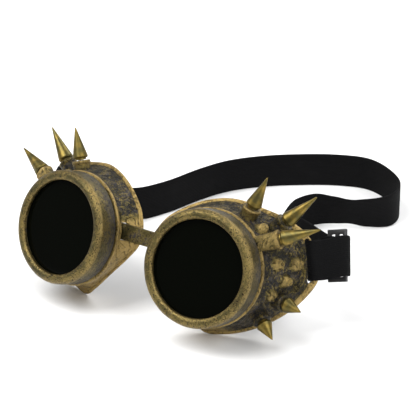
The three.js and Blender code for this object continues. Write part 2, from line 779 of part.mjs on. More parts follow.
function sliderGeometry() {
  const inside = STRAP_WIDTH + 2 * SLIDER_FIT;
  const tall = inside + 2 * SLIDER_RAIL;
  const wide = 2 * BAR_PITCH + BAR_WIDTH;
  const window = BAR_PITCH - BAR_WIDTH;
  let frame = solid(new THREE.BoxGeometry(wide, SLIDER_THICKNESS, tall));
  for (const side of [-1, 1]) {
    const opening = new THREE.BoxGeometry(window, 2 * SLIDER_THICKNESS, inside);
    opening.translate(side * BAR_PITCH / 2, 0, 0);
    frame = frame.subtract(solid(opening));
  }
  const middle = outerBar.clone().addScaledVector(sliderAcross, BAR_PITCH);
  return geometryOf(frame).applyMatrix4(uprightBasis(sliderAcross, sliderBack, sliderUp, middle));
}

goggles.add(piece('strap_slider', sliderGeometry(), 'blackPlastic'));

// ---------------------------------------------------------------- origin

// the origin is under the middle of the whole model, on the table
goggles.updateMatrixWorld(true);
const box = new THREE.Box3().setFromObject(goggles, true);
goggles.position.set(-(box.min.x + box.max.x) / 2, -(box.min.y + box.max.y) / 2, -box.min.z);

export default goggles;
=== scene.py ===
import math
from types import SimpleNamespace

import bmesh
import bpy
import numpy as np
from bpy.props import FloatProperty, FloatVectorProperty, IntProperty, PointerProperty
from mathutils import Matrix, Vector, noise


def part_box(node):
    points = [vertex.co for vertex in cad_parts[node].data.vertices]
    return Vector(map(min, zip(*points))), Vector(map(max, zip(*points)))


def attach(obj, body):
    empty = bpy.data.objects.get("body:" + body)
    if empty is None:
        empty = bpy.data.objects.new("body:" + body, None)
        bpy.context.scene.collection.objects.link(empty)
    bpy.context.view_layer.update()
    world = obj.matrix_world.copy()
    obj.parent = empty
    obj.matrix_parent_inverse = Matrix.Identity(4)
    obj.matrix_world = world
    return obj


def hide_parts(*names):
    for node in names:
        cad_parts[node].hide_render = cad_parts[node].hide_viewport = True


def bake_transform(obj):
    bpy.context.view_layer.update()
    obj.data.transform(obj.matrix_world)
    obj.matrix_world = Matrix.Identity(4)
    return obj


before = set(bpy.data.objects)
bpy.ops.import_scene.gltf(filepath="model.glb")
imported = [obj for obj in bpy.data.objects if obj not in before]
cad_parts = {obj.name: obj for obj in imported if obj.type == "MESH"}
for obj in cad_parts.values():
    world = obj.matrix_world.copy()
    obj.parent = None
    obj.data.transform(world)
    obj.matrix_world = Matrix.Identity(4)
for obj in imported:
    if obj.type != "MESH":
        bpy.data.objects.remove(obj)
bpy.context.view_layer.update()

bl_info = {
    "name": "Spiked Goggles",
    "version": (1, 0, 0),
    "blender": (4, 5, 0),
    "location": "3D View > Sidebar > Goggles",
    "description": "Builds a pair of antiqued, spiked welding-style goggles on their CAD frame",
    "category": "Object",
}

MM = 0.001  # shapes are drawn in millimetres and placed in metres
SIDES = {"left": 1, "right": -1}
FULL_TURN = 2 * math.pi


# ---------------------------------------------------------------- sizes and colours


def length(name, millimetres, description):
    return FloatProperty(
        name=name,
        description=description,
        default=millimetres * MM,
        unit="LENGTH",
        precision=5,
    )


def angle(name, degrees, description):
    return FloatProperty(
        name=name,
        description=description,
        default=math.radians(degrees),
        subtype="ANGLE",
    )


def share(name, value, description):
    return FloatProperty(name=name, description=description, default=value)


def count(name, value, description):
    return IntProperty(name=name, description=description, default=value, min=3)


def colour(name, value, description):
    return FloatVectorProperty(
        name=name,
        description=description,
        default=value,
        size=3,
        min=0,
        max=1,
        subtype="COLOR",
    )


class CupSizes(bpy.types.PropertyGroup):
    """Sizes of the eye cups and of how they stand"""

    spacing: length("Eye spacing", 85, "Lens centre to lens centre")
    splay: angle("Splay", 7, "How far each cup looks outwards")
    recline: angle("Recline", 21, "How far the front leans back")
    bore: length("Bore radius", 23.5, "Inside of the threaded neck")
    neck: length("Neck radius", 26.4, "Outside of the threaded neck")
    ridge: length("Ridge radius", 29.6, "Raised ring behind the bezel")
    barrel: length("Barrel radius", 28.2, "Round front of the cup's wall")
    neck_front: length("Neck front", 7.1, "Behind the lens opening")
    ridge_front: length("Ridge front", 12.4, "Behind the lens opening")
    barrel_front: length("Barrel front", 13.9, "Behind the lens opening")
    wall: length("Wall", 2.6, "Wall, measured across the cup's axis")
    temple_reach: length("Temple reach", 46.8, "Rear flange from the axis")
    nasal_reach: length("Nasal reach", 36, "Rear flange from the axis")
    crown_rise: length("Crown rise", 33.3, "Rear flange from the axis")
    cheek_drop: length("Cheek drop", 33.6, "Rear flange from the axis")
    face_depth: length("Face depth", 30.4, "Rear flange behind the lens opening")
    face_slant: share("Face slant", 0.208, "Depth gained per length to the temple")
    flare_ease: share("Flare ease", 1.25, "Above 1 the wall flares late")
    rim_width: length("Rim width", 3.2, "Bead round the rear flange")
    rim_proud: length("Rim proud", 1.1, "Bead above the wall")
    rim_tuck: length("Rim tuck", 0.3, "Rear edge of the bead below the wall")
    thread_pitch: length("Thread pitch", 2, "Thread on the neck")
    thread_depth: length("Thread depth", 0.22, "Thread on the neck")
    hammer: length("Hammered relief", 0.55, "Height of the cast-in unevenness")
    knob_radius: length("Knob radius", 4.1, "Moulded lumps on the temple side")
    knob_height: length("Knob height", 2.9, "Moulded lumps on the temple side")
    rib_height: length("Rib height", 1.15, "Ribs before the strap slot")
    facets: count("Facets", 264, "Faces round the cup")


class BezelSizes(bpy.types.PropertyGroup):
    """Sizes of the bezels, lenses and gaskets"""

    opening: length("Opening radius", 24, "Edge of the lip over the lens")
    radius: length("Radius", 29, "Outside of the bezel")
    seat: length("Seat radius", 25.3, "Bore that holds the lens")
    thread: length("Thread radius", 26.7, "Bore that takes the neck")
    lip_front: length("Lip front", 0.6, "Behind the lens opening")
    lip_back: length("Lip back", 2.2, "Behind the lens opening")
    crest_inset: length("Crest inset", 2.1, "Highest ring from the opening")
    crest_rise: length("Crest rise", 1.4, "Highest ring before the lip")
    shoulder: length("Shoulder", 3, "Depth of the outer rounding")
    back: length("Back", 11.5, "Rear edge behind the lens opening")
    lens_radius: length("Lens radius", 25, "Standard round lens")
    lens_front: length("Lens front", 2.5, "Behind the lens opening")
    lens_back: length("Lens back", 5.5, "Behind the lens opening")
    gasket_front: length("Gasket front", 5.8, "Behind the lens opening")
    gasket_back: length("Gasket back", 6.8, "Behind the lens opening")
    gasket_width: length("Gasket width", 1.6, "Ring under the lens's edge")
    facets: count("Facets", 192, "Faces round the bezel")


class StudSizes(bpy.types.PropertyGroup):
    """Sizes of the spikes, their bosses and their screws"""

    boss: length("Boss radius", 4.4, "Post that carries a spike")
    collar: length("Collar proud", 0.4, "Ring at the top of a boss")
    collar_height: length("Collar height", 1.3, "Ring at the top of a boss")
    pad: length("Pad", 1.2, "Under each screw head, inside the cup")
    neck: length("Spike neck radius", 2.9, "Step under a spike")
    neck_height: length("Spike neck height", 0.9, "Step under a spike")
    spike: length("Spike radius", 4, "Widest part of a spike")
    butt: length("Butt height", 0.9, "The spike widens over this height")
    butt_inset: length("Butt inset", 0.3, "The spike widens by this much")
    tip: length("Tip radius", 0.35, "Blunted point")
    screw: length("Screw radius", 1.45, "Shank of a screw")
    grip: length("Screw grip", 4.5, "Screw thread inside the spike")
    head: length("Screw head radius", 3, "Pan head inside the cup")
    head_height: length("Screw head height", 1.7, "Pan head inside the cup")
    slot_width: length("Driver slot width", 0.8, "Slot across a screw head")
    slot_depth: length("Driver slot depth", 0.8, "Slot across a screw head")
    gap: length("Gap", 0.3, "Between pieces that touch")
    facets: count("Facets", 48, "Faces round a spike")


class StrapSizes(bpy.types.PropertyGroup):
    """Sizes of the strap, its slot, its slider and the bridge"""

    width: length("Strap width", 20, "Elastic webbing")
    thickness: length("Strap thickness", 1.2, "Elastic webbing")
    edge: length("Selvage", 0.9, "Rounded edge of the webbing")
    step: length("Step", 0.9, "Spacing of the webbing's cross-sections")
    split_reach: length("Split reach", 8, "From the slider to where the strap is divided")
    slot_station: share("Slot station", 0.86, "Along the cup's wall")
    slot_angle: angle("Slot angle", 73, "From straight up to the temple")
    slot_tilt: angle("Slot tilt", 6, "Its upper end is further back")
    slot_width: length("Slot width", 2.7, "Along the cup's wall")
    slot_length: length("Slot length", 22, "Strap width and its clearance")
    bridge_height: length("Bridge slot height", 8.8, "Bridge and its clearance")
    bridge_depth: length("Bridge slot width", 3.2, "Bridge and its clearance")
    bridge_rise: length("Bridge rise", 5.2, "Above the lens centres")
    bridge_back: length("Bridge setback", 17.1, "Behind the lens opening")
    rounding: length("Edge rounding", 0.35, "Moulded edges of bridge and slider")


class Finishes(bpy.types.PropertyGroup):
    """Colours of the paints and materials"""

    brass: colour("Brass", (0.19, 0.142, 0.045), "Antique brass paint")
    # Also painted along the bezels' opening edge and shoulder as highlight lines.
    bright: colour("Rubbed brass", (0.33, 0.232, 0.085), "Where it's rubbed bright")
    olive: colour("Olive shade", (0.062, 0.053, 0.02), "Shaded brass paint")
    patina: colour("Patina", (0.030, 0.0265, 0.027), "Grey film over the brass")
    shell: colour("Shell", (0.004, 0.0037, 0.0037), "Dark paint under the brass")
    glass: colour("Glass", (0.001, 0.0013, 0.0007), "Welding-shade lens")
    webbing: colour("Webbing", (0.0022, 0.0022, 0.0024), "Elastic yarn")
    plastic: colour("Plastic", (0.011, 0.011, 0.012), "Slider")
    rubber: colour("Rubber", (0.012, 0.012, 0.012), "Gasket")
    steel: colour("Steel", (0.48, 0.47, 0.45), "Plated screws")


class StageSettings(bpy.types.PropertyGroup):
    """Floor, lights and camera"""

    floor: colour("Floor", (0.86, 0.86, 0.86), "Plain pale floor")
    sky: share("Sky", 0.42, "Strength of the even light")
    azimuth: angle("Azimuth", 34.22, "Camera, turned from the front to the left cup")
    elevation: angle("Elevation", 24.296, "Camera above the table")
    distance: length("Distance", 839.6, "Camera to the point it looks at")
    focal: FloatProperty(
        name="Focal length",
        description="In millimetres on a 36 mm wide sensor",
        default=145.7,
    )


GROUPS = {
    "goggle_cups": CupSizes,
    "goggle_bezels": BezelSizes,
    "goggle_studs": StudSizes,
    "goggle_strap": StrapSizes,
    "goggle_finishes": Finishes,
    "goggle_stage": StageSettings,
}


def cup_and_fittings(context):
    """The sizes of the cups, bezels, studs and strap."""
    scene = context.scene
    groups = (scene.goggle_cups, scene.goggle_bezels, scene.goggle_studs, scene.goggle_strap)
    return [sizes_of(group) for group in groups]


def sizes_of(group):
    """A group's sizes as plain numbers, lengths in millimetres and angles in radians."""
    plain = SimpleNamespace()
    for key in group.__annotations__:
        value = getattr(group, key)
        if group.bl_rna.properties[key].unit == "LENGTH":
            value = value / MM
        setattr(plain, key, value)
    return plain


# ---------------------------------------------------------------- smooth curves


def smooth_curve(points, closed, per_span):
    """A centripetal Catmull-Rom curve through points, sampled evenly within each span."""
    points = np.asarray(points, float)
    total = len(points)
    if closed:
        padded = np.vstack([points[-1], points, points[0], points[1]])
        spans = total
    else:
        first = 2 * points[0] - points[1]
        last = 2 * points[-1] - points[-2]
        padded = np.vstack([first, points, last])
        spans = total - 1
    t = np.arange(per_span)[:, None] / per_span
    rows = []
    for i in range(spans):
        a, b, c, d = padded[i : i + 4]
        ab, bc, cd = (
            max(np.linalg.norm(q[:3] - p[:3]), 1e-9) ** 0.5
            for p, q in ((a, b), (b, c), (c, d))
        )
        leave = ((b - a) / ab - (c - a) / (ab + bc) + (c - b) / bc) * bc
        arrive = ((c - b) / bc - (d - b) / (bc + cd) + (d - c) / cd) * bc
        square = -3 * b + 3 * c - 2 * leave - arrive
        cube = 2 * b - 2 * c + leave + arrive
        rows.append(b + leave * t + square * t**2 + cube * t**3)
    if not closed:
        rows.append(points[-1:])
    return np.vstack(rows)


def smoothstep(low, high, value):
    t = np.clip((value - low) / (high - low), 0, 1)
    return t * t * (3 - 2 * t)


def window(value, rise, full, fade, end):
    """0 outside rise and end, 1 between full and fade."""
    return smoothstep(rise, full, value) * (1 - smoothstep(fade, end, value))


# ---------------------------------------------------------------- the cup's flared wall

# Rear flange, as shares of its reach to the temple (+x), the nose (-x), up and down.
FLANGE = [
    (0, 1), (0.3, 0.96), (0.56, 0.89), (0.8, 0.73), (0.96, 0.43), (1, 0.13),
    (0.92, -0.15), (0.73, -0.49), (0.45, -0.79), (0.17, -0.96), (-0.06, -1),
    (-0.22, -0.86), (-0.5, -0.54), (-0.78, -0.25), (-0.97, -0.01), (-1, 0.21),
    (-0.89, 0.48), (-0.61, 0.75), (-0.31, 0.92),
]  # fmt: skip

# Where each spike's axis leaves the wall, which way it points (out, back, up), how far its
# boss lifts it, its height and how much brass is brushed on its boss.
STUDS = {
    "brow_spike": (0.43, 21.8, (0.33, -0.17, 0.93), 5.07, 17, 0.56),
    "corner_spike": (0.659, 44.7, (0.66, -0.09, 0.74), 5.67, 20.5, 0.16),
    "temple_spike": (0.088, 52.9, (0.9, 0.04, 0.44), 10.68, 20.5, 0.6),
    "cheek_spike_rear": (0.587, 104.8, (0.93, -0.3, -0.12), 4.26, 10.5, 0.12),
    "cheek_spike_front": (0.539, 124.7, (0.74, -0.28, -0.61), 4.01, 10.5, 0.08),
}

# The ribs before the strap slot: where they rise and fade, by station and by degrees from
# straight up, and where the first one is and the next ones follow.
RIB_STATIONS = (0.63, 0.66, 0.79, 0.81)
RIB_SECTOR = (56, 62, 94, 100)
FIRST_RIB = 0.645
RIB_PITCH = 0.052

# Moulded lumps, as station along the wall and angle from straight up.
KNOBS = [(0.3, 74), (0.6, 75), (0.47, 88), (0.35, 102), (0.32, 40)]


class Wall:
    """The cup's outer wall, by station (0 at the barrel, 1 at the rim) and angle."""

    def __init__(self, cup):
        self.cup = cup
        outline = [
            (
                x * (cup.temple_reach if x > 0 else cup.nasal_reach),
                y * (cup.crown_rise if y > 0 else cup.cheek_drop),
            )
            for x, y in FLANGE
        ]
        curve = smooth_curve(outline, True, 40)
        angles = np.arctan2(curve[:, 0], curve[:, 1])
        order = np.argsort(angles)
        self.angles = angles[order]
        self.reach = np.hypot(curve[:, 0], curve[:, 1])[order]

    def rim(self, angle):
        return np.interp(angle, self.angles, self.reach, period=FULL_TURN)

    def rim_depth(self, angle):
        return self.cup.face_depth + self.cup.face_slant * self.rim(angle) * np.sin(angle)

    def at(self, station, angle, proud=0):
        """Radius and depth."""
        cup = self.cup
        ease = np.sign(station) * np.abs(station) ** cup.flare_ease
        radius = cup.barrel + (self.rim(angle) - cup.barrel) * ease + proud
        depth = cup.barrel_front + (self.rim_depth(angle) - cup.barrel_front) * station
        return radius, depth

    def point(self, station, angle, proud=0):
        radius, depth = self.at(station, angle, proud)
        return Vector((radius * math.sin(angle), depth, radius * math.cos(angle)))

    def directions(self, station, angle):
        """Backwards, round and outwards, square to the wall."""
        step = 0.01
        back = self.point(station + step, angle) - self.point(station - step, angle)
        around = self.point(station, angle + step) - self.point(station, angle - step)
        back.normalize()
        around.normalize()
        outward = back.cross(around).normalized()
        centre = self.point(station, angle)
        if outward.dot(Vector((centre.x, 0, centre.z))) < 0:
            outward.negate()
        return back, around, outward

    def station_of(self, depth, angle):
        cup = self.cup
        return (depth - cup.barrel_front) / (self.rim_depth(angle) - cup.barrel_front)


def studs(wall, stud):
    """Each spike's base point, direction, boss length, height and brushing."""
    found = {}
    for name, (station, degrees, aim, lift, height, polish) in STUDS.items():
        at = math.radians(degrees)
        outward = wall.directions(station, at)[2]
        aim = Vector(aim).normalized()
        lean = math.acos(aim.dot(outward))
        through = wall.cup.wall * math.hypot(outward.x, outward.z) / math.cos(lean)
        depth = lift + through + stud.pad + stud.boss * math.tan(lean)
        found[name] = SimpleNamespace(
            base=wall.point(station, at) + lift * aim,
            aim=aim,
            depth=depth,
            lift=lift,
            height=height,
            polish=polish,
        )
    return found


def cup_place(side, cup, bezel):
    """From a cup's own frame, in millimetres, to its place on the table, in metres."""
    sign = SIDES[side]
    turn = (
        Matrix.Rotation(-cup.recline, 4, "X")
        @ Matrix.Translation((sign * cup.spacing / 2, 0, 0))
        @ Matrix.Rotation(sign * cup.splay, 4, "Z")
        @ Matrix.Diagonal((sign, 1, 1, 1))
    )
    low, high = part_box(f"{side}_lens")
    disc = turn @ Vector((0, (bezel.lens_front + bezel.lens_back) / 2, 0))
    shift = (low + high) / 2 / MM - disc
    return Matrix.Scale(MM, 4) @ Matrix.Translation(shift) @ turn


def aimed(base, aim):
    """A placement that runs +Y along a direction."""
    turn = Vector((0, 1, 0)).rotation_difference(aim)
    return Matrix.Translation(base) @ turn.to_matrix().to_4x4()


# ---------------------------------------------------------------- mesh helpers


def spun(profile, steps, closed=True):
    """A shape turned about Y from (radius, depth) pairs."""
    shape = bmesh.new()
    points = [shape.verts.new((0, depth, radius)) for radius, depth in profile]
    edges = [shape.edges.new(pair) for pair in zip(points, points[1:])]
    if closed:
        edges.append(shape.edges.new((points[-1], points[0])))
    bmesh.ops.spin(
        shape,
        geom=points + edges,
        cent=(0, 0, 0),
        axis=(0, 1, 0),
        dvec=(0, 0, 0),
        angle=FULL_TURN,
        steps=steps,
        use_merge=True,
        use_duplicate=False,
    )
    bmesh.ops.remove_doubles(shape, verts=shape.verts, dist=1e-4)
    bmesh.ops.recalc_face_normals(shape, faces=shape.faces)
    return shape


def rounded(profile, radius, steps=3):
    """A closed (radius, depth) profile with its corners cut by small arcs."""
    out = []
    total = len(profile)
    for i, point in enumerate(profile):
        before = Vector(profile[i - 1])
        here = Vector(point)
        after = Vector(profile[(i + 1) % total])
        if here.x == 0:
            out.append(tuple(here))
            continue
        reach = min(radius, 0.45 * (before - here).length, 0.45 * (after - here).length)
        start = here + (before - here).normalized() * reach
        end = here + (after - here).normalized() * reach
        for k in range(steps + 1):
            t = k / steps
            out.append(tuple(start * (1 - t) ** 2 + here * 2 * t * (1 - t) + end * t**2))
    return out


def add_piece(shape, name, material, place=None, sharp=35):
    """A finished object at the origin, its place in its mesh."""
    if place is not None:
        bmesh.ops.transform(shape, matrix=place, verts=shape.verts)
        if place.determinant() < 0:
            bmesh.ops.reverse_faces(shape, faces=shape.faces)
    mesh = bpy.data.meshes.new(name)
    shape.to_mesh(mesh)
    shape.free()
    mesh.shade_smooth()
    mesh.set_sharp_from_angle(angle=math.radians(sharp))
    mesh.materials.clear()
    mesh.materials.append(material)
    obj = bpy.data.objects.new(name, mesh)
    bpy.context.scene.collection.objects.link(obj)
    return obj


def stand_for(obj, body, slot, *nodes):
    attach(obj, body)
    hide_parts(*nodes)


def on_both_cups(shape, cup, bezel, piece, body, finish, node):
    """Copies a shape drawn in a cup's own frame to the left and right cups."""
    for side in SIDES:
        place = cup_place(side, cup, bezel)
        made = add_piece(shape.copy(), f"{side}_{piece}", material(finish), place)
        stand_for(made, body.format(side=side), finish, f"{side}_{node}")
    shape.free()


def scratch(shape, name):
    mesh = bpy.data.meshes.new(name)
    shape.to_mesh(mesh)
    shape.free()
    obj = bpy.data.objects.new(name, mesh)
    bpy.context.scene.collection.objects.link(obj)
    return obj


def carved(shape, steps):
    """A shape after Boolean steps, each an operation and another shape."""
    base = scratch(shape, "blank")
    others = []
    for operation, other in steps:
        tool = scratch(other, "tool")
        modifier = base.modifiers.new(operation, "BOOLEAN")
        modifier.operation = operation
        modifier.object = tool
        modifier.solver = "EXACT"
        others.append(tool)
    bpy.context.view_layer.update()
    result = base.evaluated_get(bpy.context.evaluated_depsgraph_get())
    out = bmesh.new()
    out.from_mesh(result.to_mesh())
    for obj in [base, *others]:
        mesh = obj.data
        bpy.data.objects.remove(obj)
        bpy.data.meshes.remove(mesh)
    return out


def gathered(shapes):
    """Several separate shapes as one."""
    whole = bmesh.new()
    for shape in shapes:
        mesh = bpy.data.meshes.new("part")
        shape.to_mesh(mesh)
        shape.free()
        whole.from_mesh(mesh)
        bpy.data.meshes.remove(mesh)
    return whole


def block(size, place):
    shape = bmesh.new()
    bmesh.ops.create_cube(shape, size=1, matrix=place @ Matrix.Diagonal((*size, 1)))
    return shape


def merged_node(name):
    """A CAD node's mesh with its loose triangles joined up, in metres."""
    shape = bmesh.new()
    shape.from_mesh(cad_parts[name].data)
    bmesh.ops.remove_doubles(shape, verts=shape.verts, dist=1e-6)
    return shape


def store(shape, name, values):
    """Writes a number for each vertex."""
    layer = shape.verts.layers.float.get(name) or shape.verts.layers.float.new(name)
    for vert, value in zip(shape.verts, values):
        vert[layer] = float(value)


# ---------------------------------------------------------------- materials


class Value:
    """A socket whose sums and products in Python add Math nodes."""

    def __init__(self, paint, socket):
        self.paint = paint
        self.socket = socket

    def __add__(self, other):
        return self.paint.maths("ADD", self, other)

    def __sub__(self, other):
        return self.paint.maths("SUBTRACT", self, other)

    def __rsub__(self, other):
        return self.paint.maths("SUBTRACT", other, self)

    def __mul__(self, other):
        return self.paint.maths("MULTIPLY", self, other)

    __radd__ = __add__
    __rmul__ = __mul__


class Paint:
    """A material's node tree."""

    def __init__(self, name):
        self.material = bpy.data.materials.new(name)
        self.material.use_nodes = True
        self.nodes = self.material.node_tree.nodes
        self.links = self.material.node_tree.links
        self.shader = self.nodes["Principled BSDF"]
        self.place = self.node("ShaderNodeTexCoord", {}, {}, "Object")

    def node(self, kind, settings, inputs, output=0):
        node = self.nodes.new(kind)
        for key, value in settings.items():
            setattr(node, key, value)
        self.feed(node, inputs)
        return Value(self, node.outputs[output])

    def feed(self, node, inputs):
        for key, value in inputs.items():
            if isinstance(value, Value):
                self.links.new(value.socket, node.inputs[key])
            elif node.inputs[key].type == "RGBA":
                node.inputs[key].default_value = (*value, 1)
            else:
                node.inputs[key].default_value = value

    def maths(self, operation, *values):
        inputs = dict(enumerate(values))
        return self.node("ShaderNodeMath", {"operation": operation}, inputs)

    def noise(self, size, detail=3, rough=0.55, place=None, twist=0):
        """Cloudy noise whose lumps are about size millimetres across."""
        inputs = {
            "Vector": place or self.place,
            "Scale": 1 / (size * MM),
            "Detail": detail,
            "Roughness": rough,
            "Distortion": twist,
        }
        return self.node("ShaderNodeTexNoise", {}, inputs)

    def stretched(self, x, y, z):
        """The object's coordinates, scaled along its axes."""
        inputs = {0: self.place, 1: (x, y, z)}
        return self.node("ShaderNodeVectorMath", {"operation": "MULTIPLY"}, inputs)

    def edge(self, value, low, high):
        """0 below low and 1 above high, smoothly."""
        settings = {"interpolation_type": "SMOOTHSTEP"}
        inputs = {"Value": value, "From Min": low, "From Max": high}
        return self.node("ShaderNodeMapRange", settings, inputs)

    def mark(self, name):
        settings = {"attribute_name": name, "attribute_type": "GEOMETRY"}
        return self.node("ShaderNodeAttribute", settings, {}, "Fac")

    def blend(self, factor, low, high, kind="MIX"):
        settings = {"data_type": "RGBA", "blend_type": kind}
        return self.node("ShaderNodeMix", settings, {0: factor, 6: low, 7: high}, 2)

    def relief(self, height, depth, below=None):
        """A bump of depth millimetres."""
        inputs = {"Height": height, "Distance": depth * MM, "Strength": 1}
        if below is not None:
            inputs["Normal"] = below
        return self.node("ShaderNodeBump", {}, inputs)

    def finish(self, **inputs):
        self.feed(self.shader, {k.replace("_", " "): v for k, v in inputs.items()})
        return self.material


def tone(rgb, factor):
    return tuple(min(1, c * factor) for c in rgb)


def antique_brass(name, tones):
    """Brass paint, grey-filmed where it isn't rubbed; a per-point mark says where, and on the
    bezels it also paints highlight lines and a shade line.
    """
    paint = Paint(name)
    wear_and_painted_light = paint.mark("wear_and_painted_light")
    cloud = paint.noise(9, 4, 0.6)
    speck = paint.noise(1.6, 6, 0.76, paint.stretched(1, 1, 0.6), 0.9)
    fine = paint.noise(0.7, 4, 0.7)
    shade = paint.blend(paint.edge(cloud * 0.5 + speck * 0.5, 0.42, 0.58), tones.olive, tones.brass)
    # Rubbed bright brass where the mark is high; along the bezels' opening edge and shoulder this
    # is partly a painted highlight.
    rubbed_and_highlit = paint.edge(wear_and_painted_light * 0.8 + speck * 0.6, 1.0, 1.2)
    shade = paint.blend(rubbed_and_highlit * 0.6, shade, tones.bright)
    film = paint.edge(speck * 1.3 + cloud * 0.6 - wear_and_painted_light * 0.5, 0.62, 0.74)
    shade = paint.blend(film * 0.9, shade, tones.patina)
    pits = paint.edge(fine * 0.7 + speck * 0.5, 0.61, 0.69)
    shade = paint.blend(pits, shade, tones.shell)
    # Dark shell where the mark is near zero; on the bezels' rear edge this is a painted shade line.
    shade = paint.blend(1 - paint.edge(wear_and_painted_light + speck * 0.12, 0.12, 0.24), shade, tones.shell)
    bump = paint.relief(fine, 0.12, paint.relief(speck, 0.35))
    return paint.finish(
        Base_Color=shade,
        Metallic=0.88 - film * 0.5,
        Roughness=0.4 + film * 0.2 + (fine - 0.5) * 0.2,
        Normal=bump,
    )


def aged_shell(name, tones):
    """Dark paint with brass dry-brushed over what stands proud."""
    paint = Paint(name)
    brass = paint.mark("brass")
    cloud = paint.noise(6, 4, 0.6)
    stroke = paint.noise(1.7, 7, 0.82, paint.stretched(1, 1, 0.6), 1.1)
    fine = paint.noise(0.6, 4, 0.7)
    fold = paint.noise(4.5, 3, 0.5, paint.stretched(1, 1, 0.6), 1.4)
    crease = 1 - paint.edge(paint.maths("ABSOLUTE", fold - 0.5), 0.006, 0.036)
    dark = paint.blend(paint.edge(cloud + fine * 0.5, 0.72, 0.86), tones.shell, tones.patina)
    gold = paint.blend(paint.edge(fine * 0.5 + cloud * 0.5, 0.42, 0.6), tones.olive, tones.brass)
    gold = paint.blend(paint.edge(brass + stroke, 0.95, 1.4) * 0.85, gold, tone(tones.bright, 1.25))
    cover = paint.edge(stroke * 1.5 + fine * 0.35 + brass * 0.62, 1.035, 1.09)
    shade = paint.blend(cover, dark, gold)
    shade = paint.blend(crease * (0.9 - brass * 0.35), shade, tones.shell)
    bump = paint.relief(stroke, 0.55, paint.relief(crease, -0.5))
    return paint.finish(
        Base_Color=shade,
        Metallic=0.1 + cover * 0.7,
        Roughness=0.56 - cover * 0.16 + (fine - 0.5) * 0.2,
        Specular_IOR_Level=0.3,
        Normal=paint.relief(fine, 0.1, bump),
    )


def spike_brass(name, tones):
    """Satin plated brass, a little tarnished in patches."""
    paint = Paint(name)
    cloud = paint.noise(5, 4, 0.6)
    fine = paint.noise(0.3, 3, 0.6)
    warm = tuple(c * k for c, k in zip(tones.brass, (1.15, 1.08, 0.75)))
    shade = paint.blend(paint.edge(cloud, 0.36, 0.68), tone(tones.olive, 1.5), warm)
    shade = paint.blend(paint.edge(cloud, 0.52, 0.78) * 0.5, shade, tones.bright)
    shade = paint.blend(paint.edge(fine, 0.6, 0.74) * 0.35, shade, tones.patina)
    return paint.finish(
        Base_Color=shade,
        Metallic=1.0,
        Roughness=0.44 + (cloud - 0.5) * 0.14 + (fine - 0.5) * 0.12,
        Normal=paint.relief(fine, 0.03),
    )


def dark_glass(name, tones):
    paint = Paint(name)
    dust = paint.noise(0.8, 4, 0.7)
    haze = paint.noise(18, 2, 0.5)
    shade = paint.blend(paint.edge(dust, 0.66, 0.8) * 0.2, tones.glass, tone(tones.glass, 4))
    return paint.finish(
        Base_Color=shade,
        Roughness=0.1 + haze * 0.08,
        Specular_IOR_Level=0.04,
        Normal=paint.relief(haze, 0.01),
    )


def gasket_rubber(name, tones):
    paint = Paint(name)
    bloom = paint.noise(1.6, 4, 0.6)
    shade = paint.blend(bloom * 0.5, tones.rubber, tone(tones.rubber, 2.4))
    return paint.finish(
        Base_Color=shade,
        Roughness=0.72 + bloom * 0.15,
        Normal=paint.relief(bloom, 0.05),
    )


def screw_steel(name, tones):
    paint = Paint(name)
    cloud = paint.noise(2.2, 4, 0.6)
    fine = paint.noise(0.3, 3, 0.6)
    spots = paint.edge(cloud, 0.56, 0.7)
    shade = paint.blend(spots * 0.6, tones.steel, tones.patina)
    return paint.finish(
        Base_Color=shade,
        Metallic=1.0 - spots * 0.4,
        Roughness=0.3 + spots * 0.25 + (fine - 0.5) * 0.1,
        Normal=paint.relief(fine, 0.03),
    )


RIB_SPACING = 0.95  # the webbing's lengthwise ribs, in millimetres
PICK_SPACING = 0.6  # its crossing threads


def elastic_webbing(name, tones):
    """Woven elastic: fine lengthwise ribs crossed by close picks, a little fuzzy."""
    paint = Paint(name)
    cloth = paint.node("ShaderNodeUVMap", {"uv_map": "weave"}, {})
    parts = paint.nodes.new("ShaderNodeSeparateXYZ")
    paint.links.new(cloth.socket, parts.inputs[0])
    along = Value(paint, parts.outputs[0])
    across = Value(paint, parts.outputs[1])
    rib = paint.maths("SINE", across * (FULL_TURN / (RIB_SPACING * MM))) * 0.5 + 0.5
    pick = paint.maths("SINE", along * (FULL_TURN / (PICK_SPACING * MM))) * 0.5 + 0.5
    fuzz = paint.noise(0.3, 3, 0.7)
    stretch = {0: cloth, 1: (18, 1400, 0)}
    drawn = paint.node("ShaderNodeVectorMath", {"operation": "MULTIPLY"}, stretch)
    grain = {"Vector": drawn, "Scale": 1, "Detail": 2, "Roughness": 0.5}
    streak = paint.node("ShaderNodeTexNoise", {}, grain)
    cloud = paint.noise(14, 3, 0.6)
    light = streak * 0.45 + fuzz * 0.3 + rib * pick * 0.25
    shade = paint.blend(light, tone(tones.webbing, 0.5), tone(tones.webbing, 2.2))
    shade = paint.blend(paint.edge(cloud, 0.5, 0.8) * 0.3, shade, tone(tones.webbing, 3))
    bump = paint.relief(rib * 0.7 + rib * pick * 0.3, 0.12, paint.relief(fuzz, 0.05))
    return paint.finish(
        Base_Color=shade,
        Roughness=0.78 + fuzz * 0.16,
        Specular_IOR_Level=0.1,
        Normal=bump,
    )


def black_plastic(name, tones):
    paint = Paint(name)
    grain = paint.noise(0.5, 3, 0.6)
    cloud = paint.noise(7, 3, 0.6)
    scuff = paint.edge(paint.noise(1.4, 5, 0.75), 0.6, 0.72)
    shade = paint.blend(cloud * 0.4, tones.plastic, tone(tones.plastic, 1.9))
    shade = paint.blend(scuff * 0.25, shade, tone(tones.plastic, 4))
    return paint.finish(
        Base_Color=shade,
        Roughness=0.38 + grain * 0.14 + scuff * 0.12,
        Normal=paint.relief(grain, 0.04),
    )


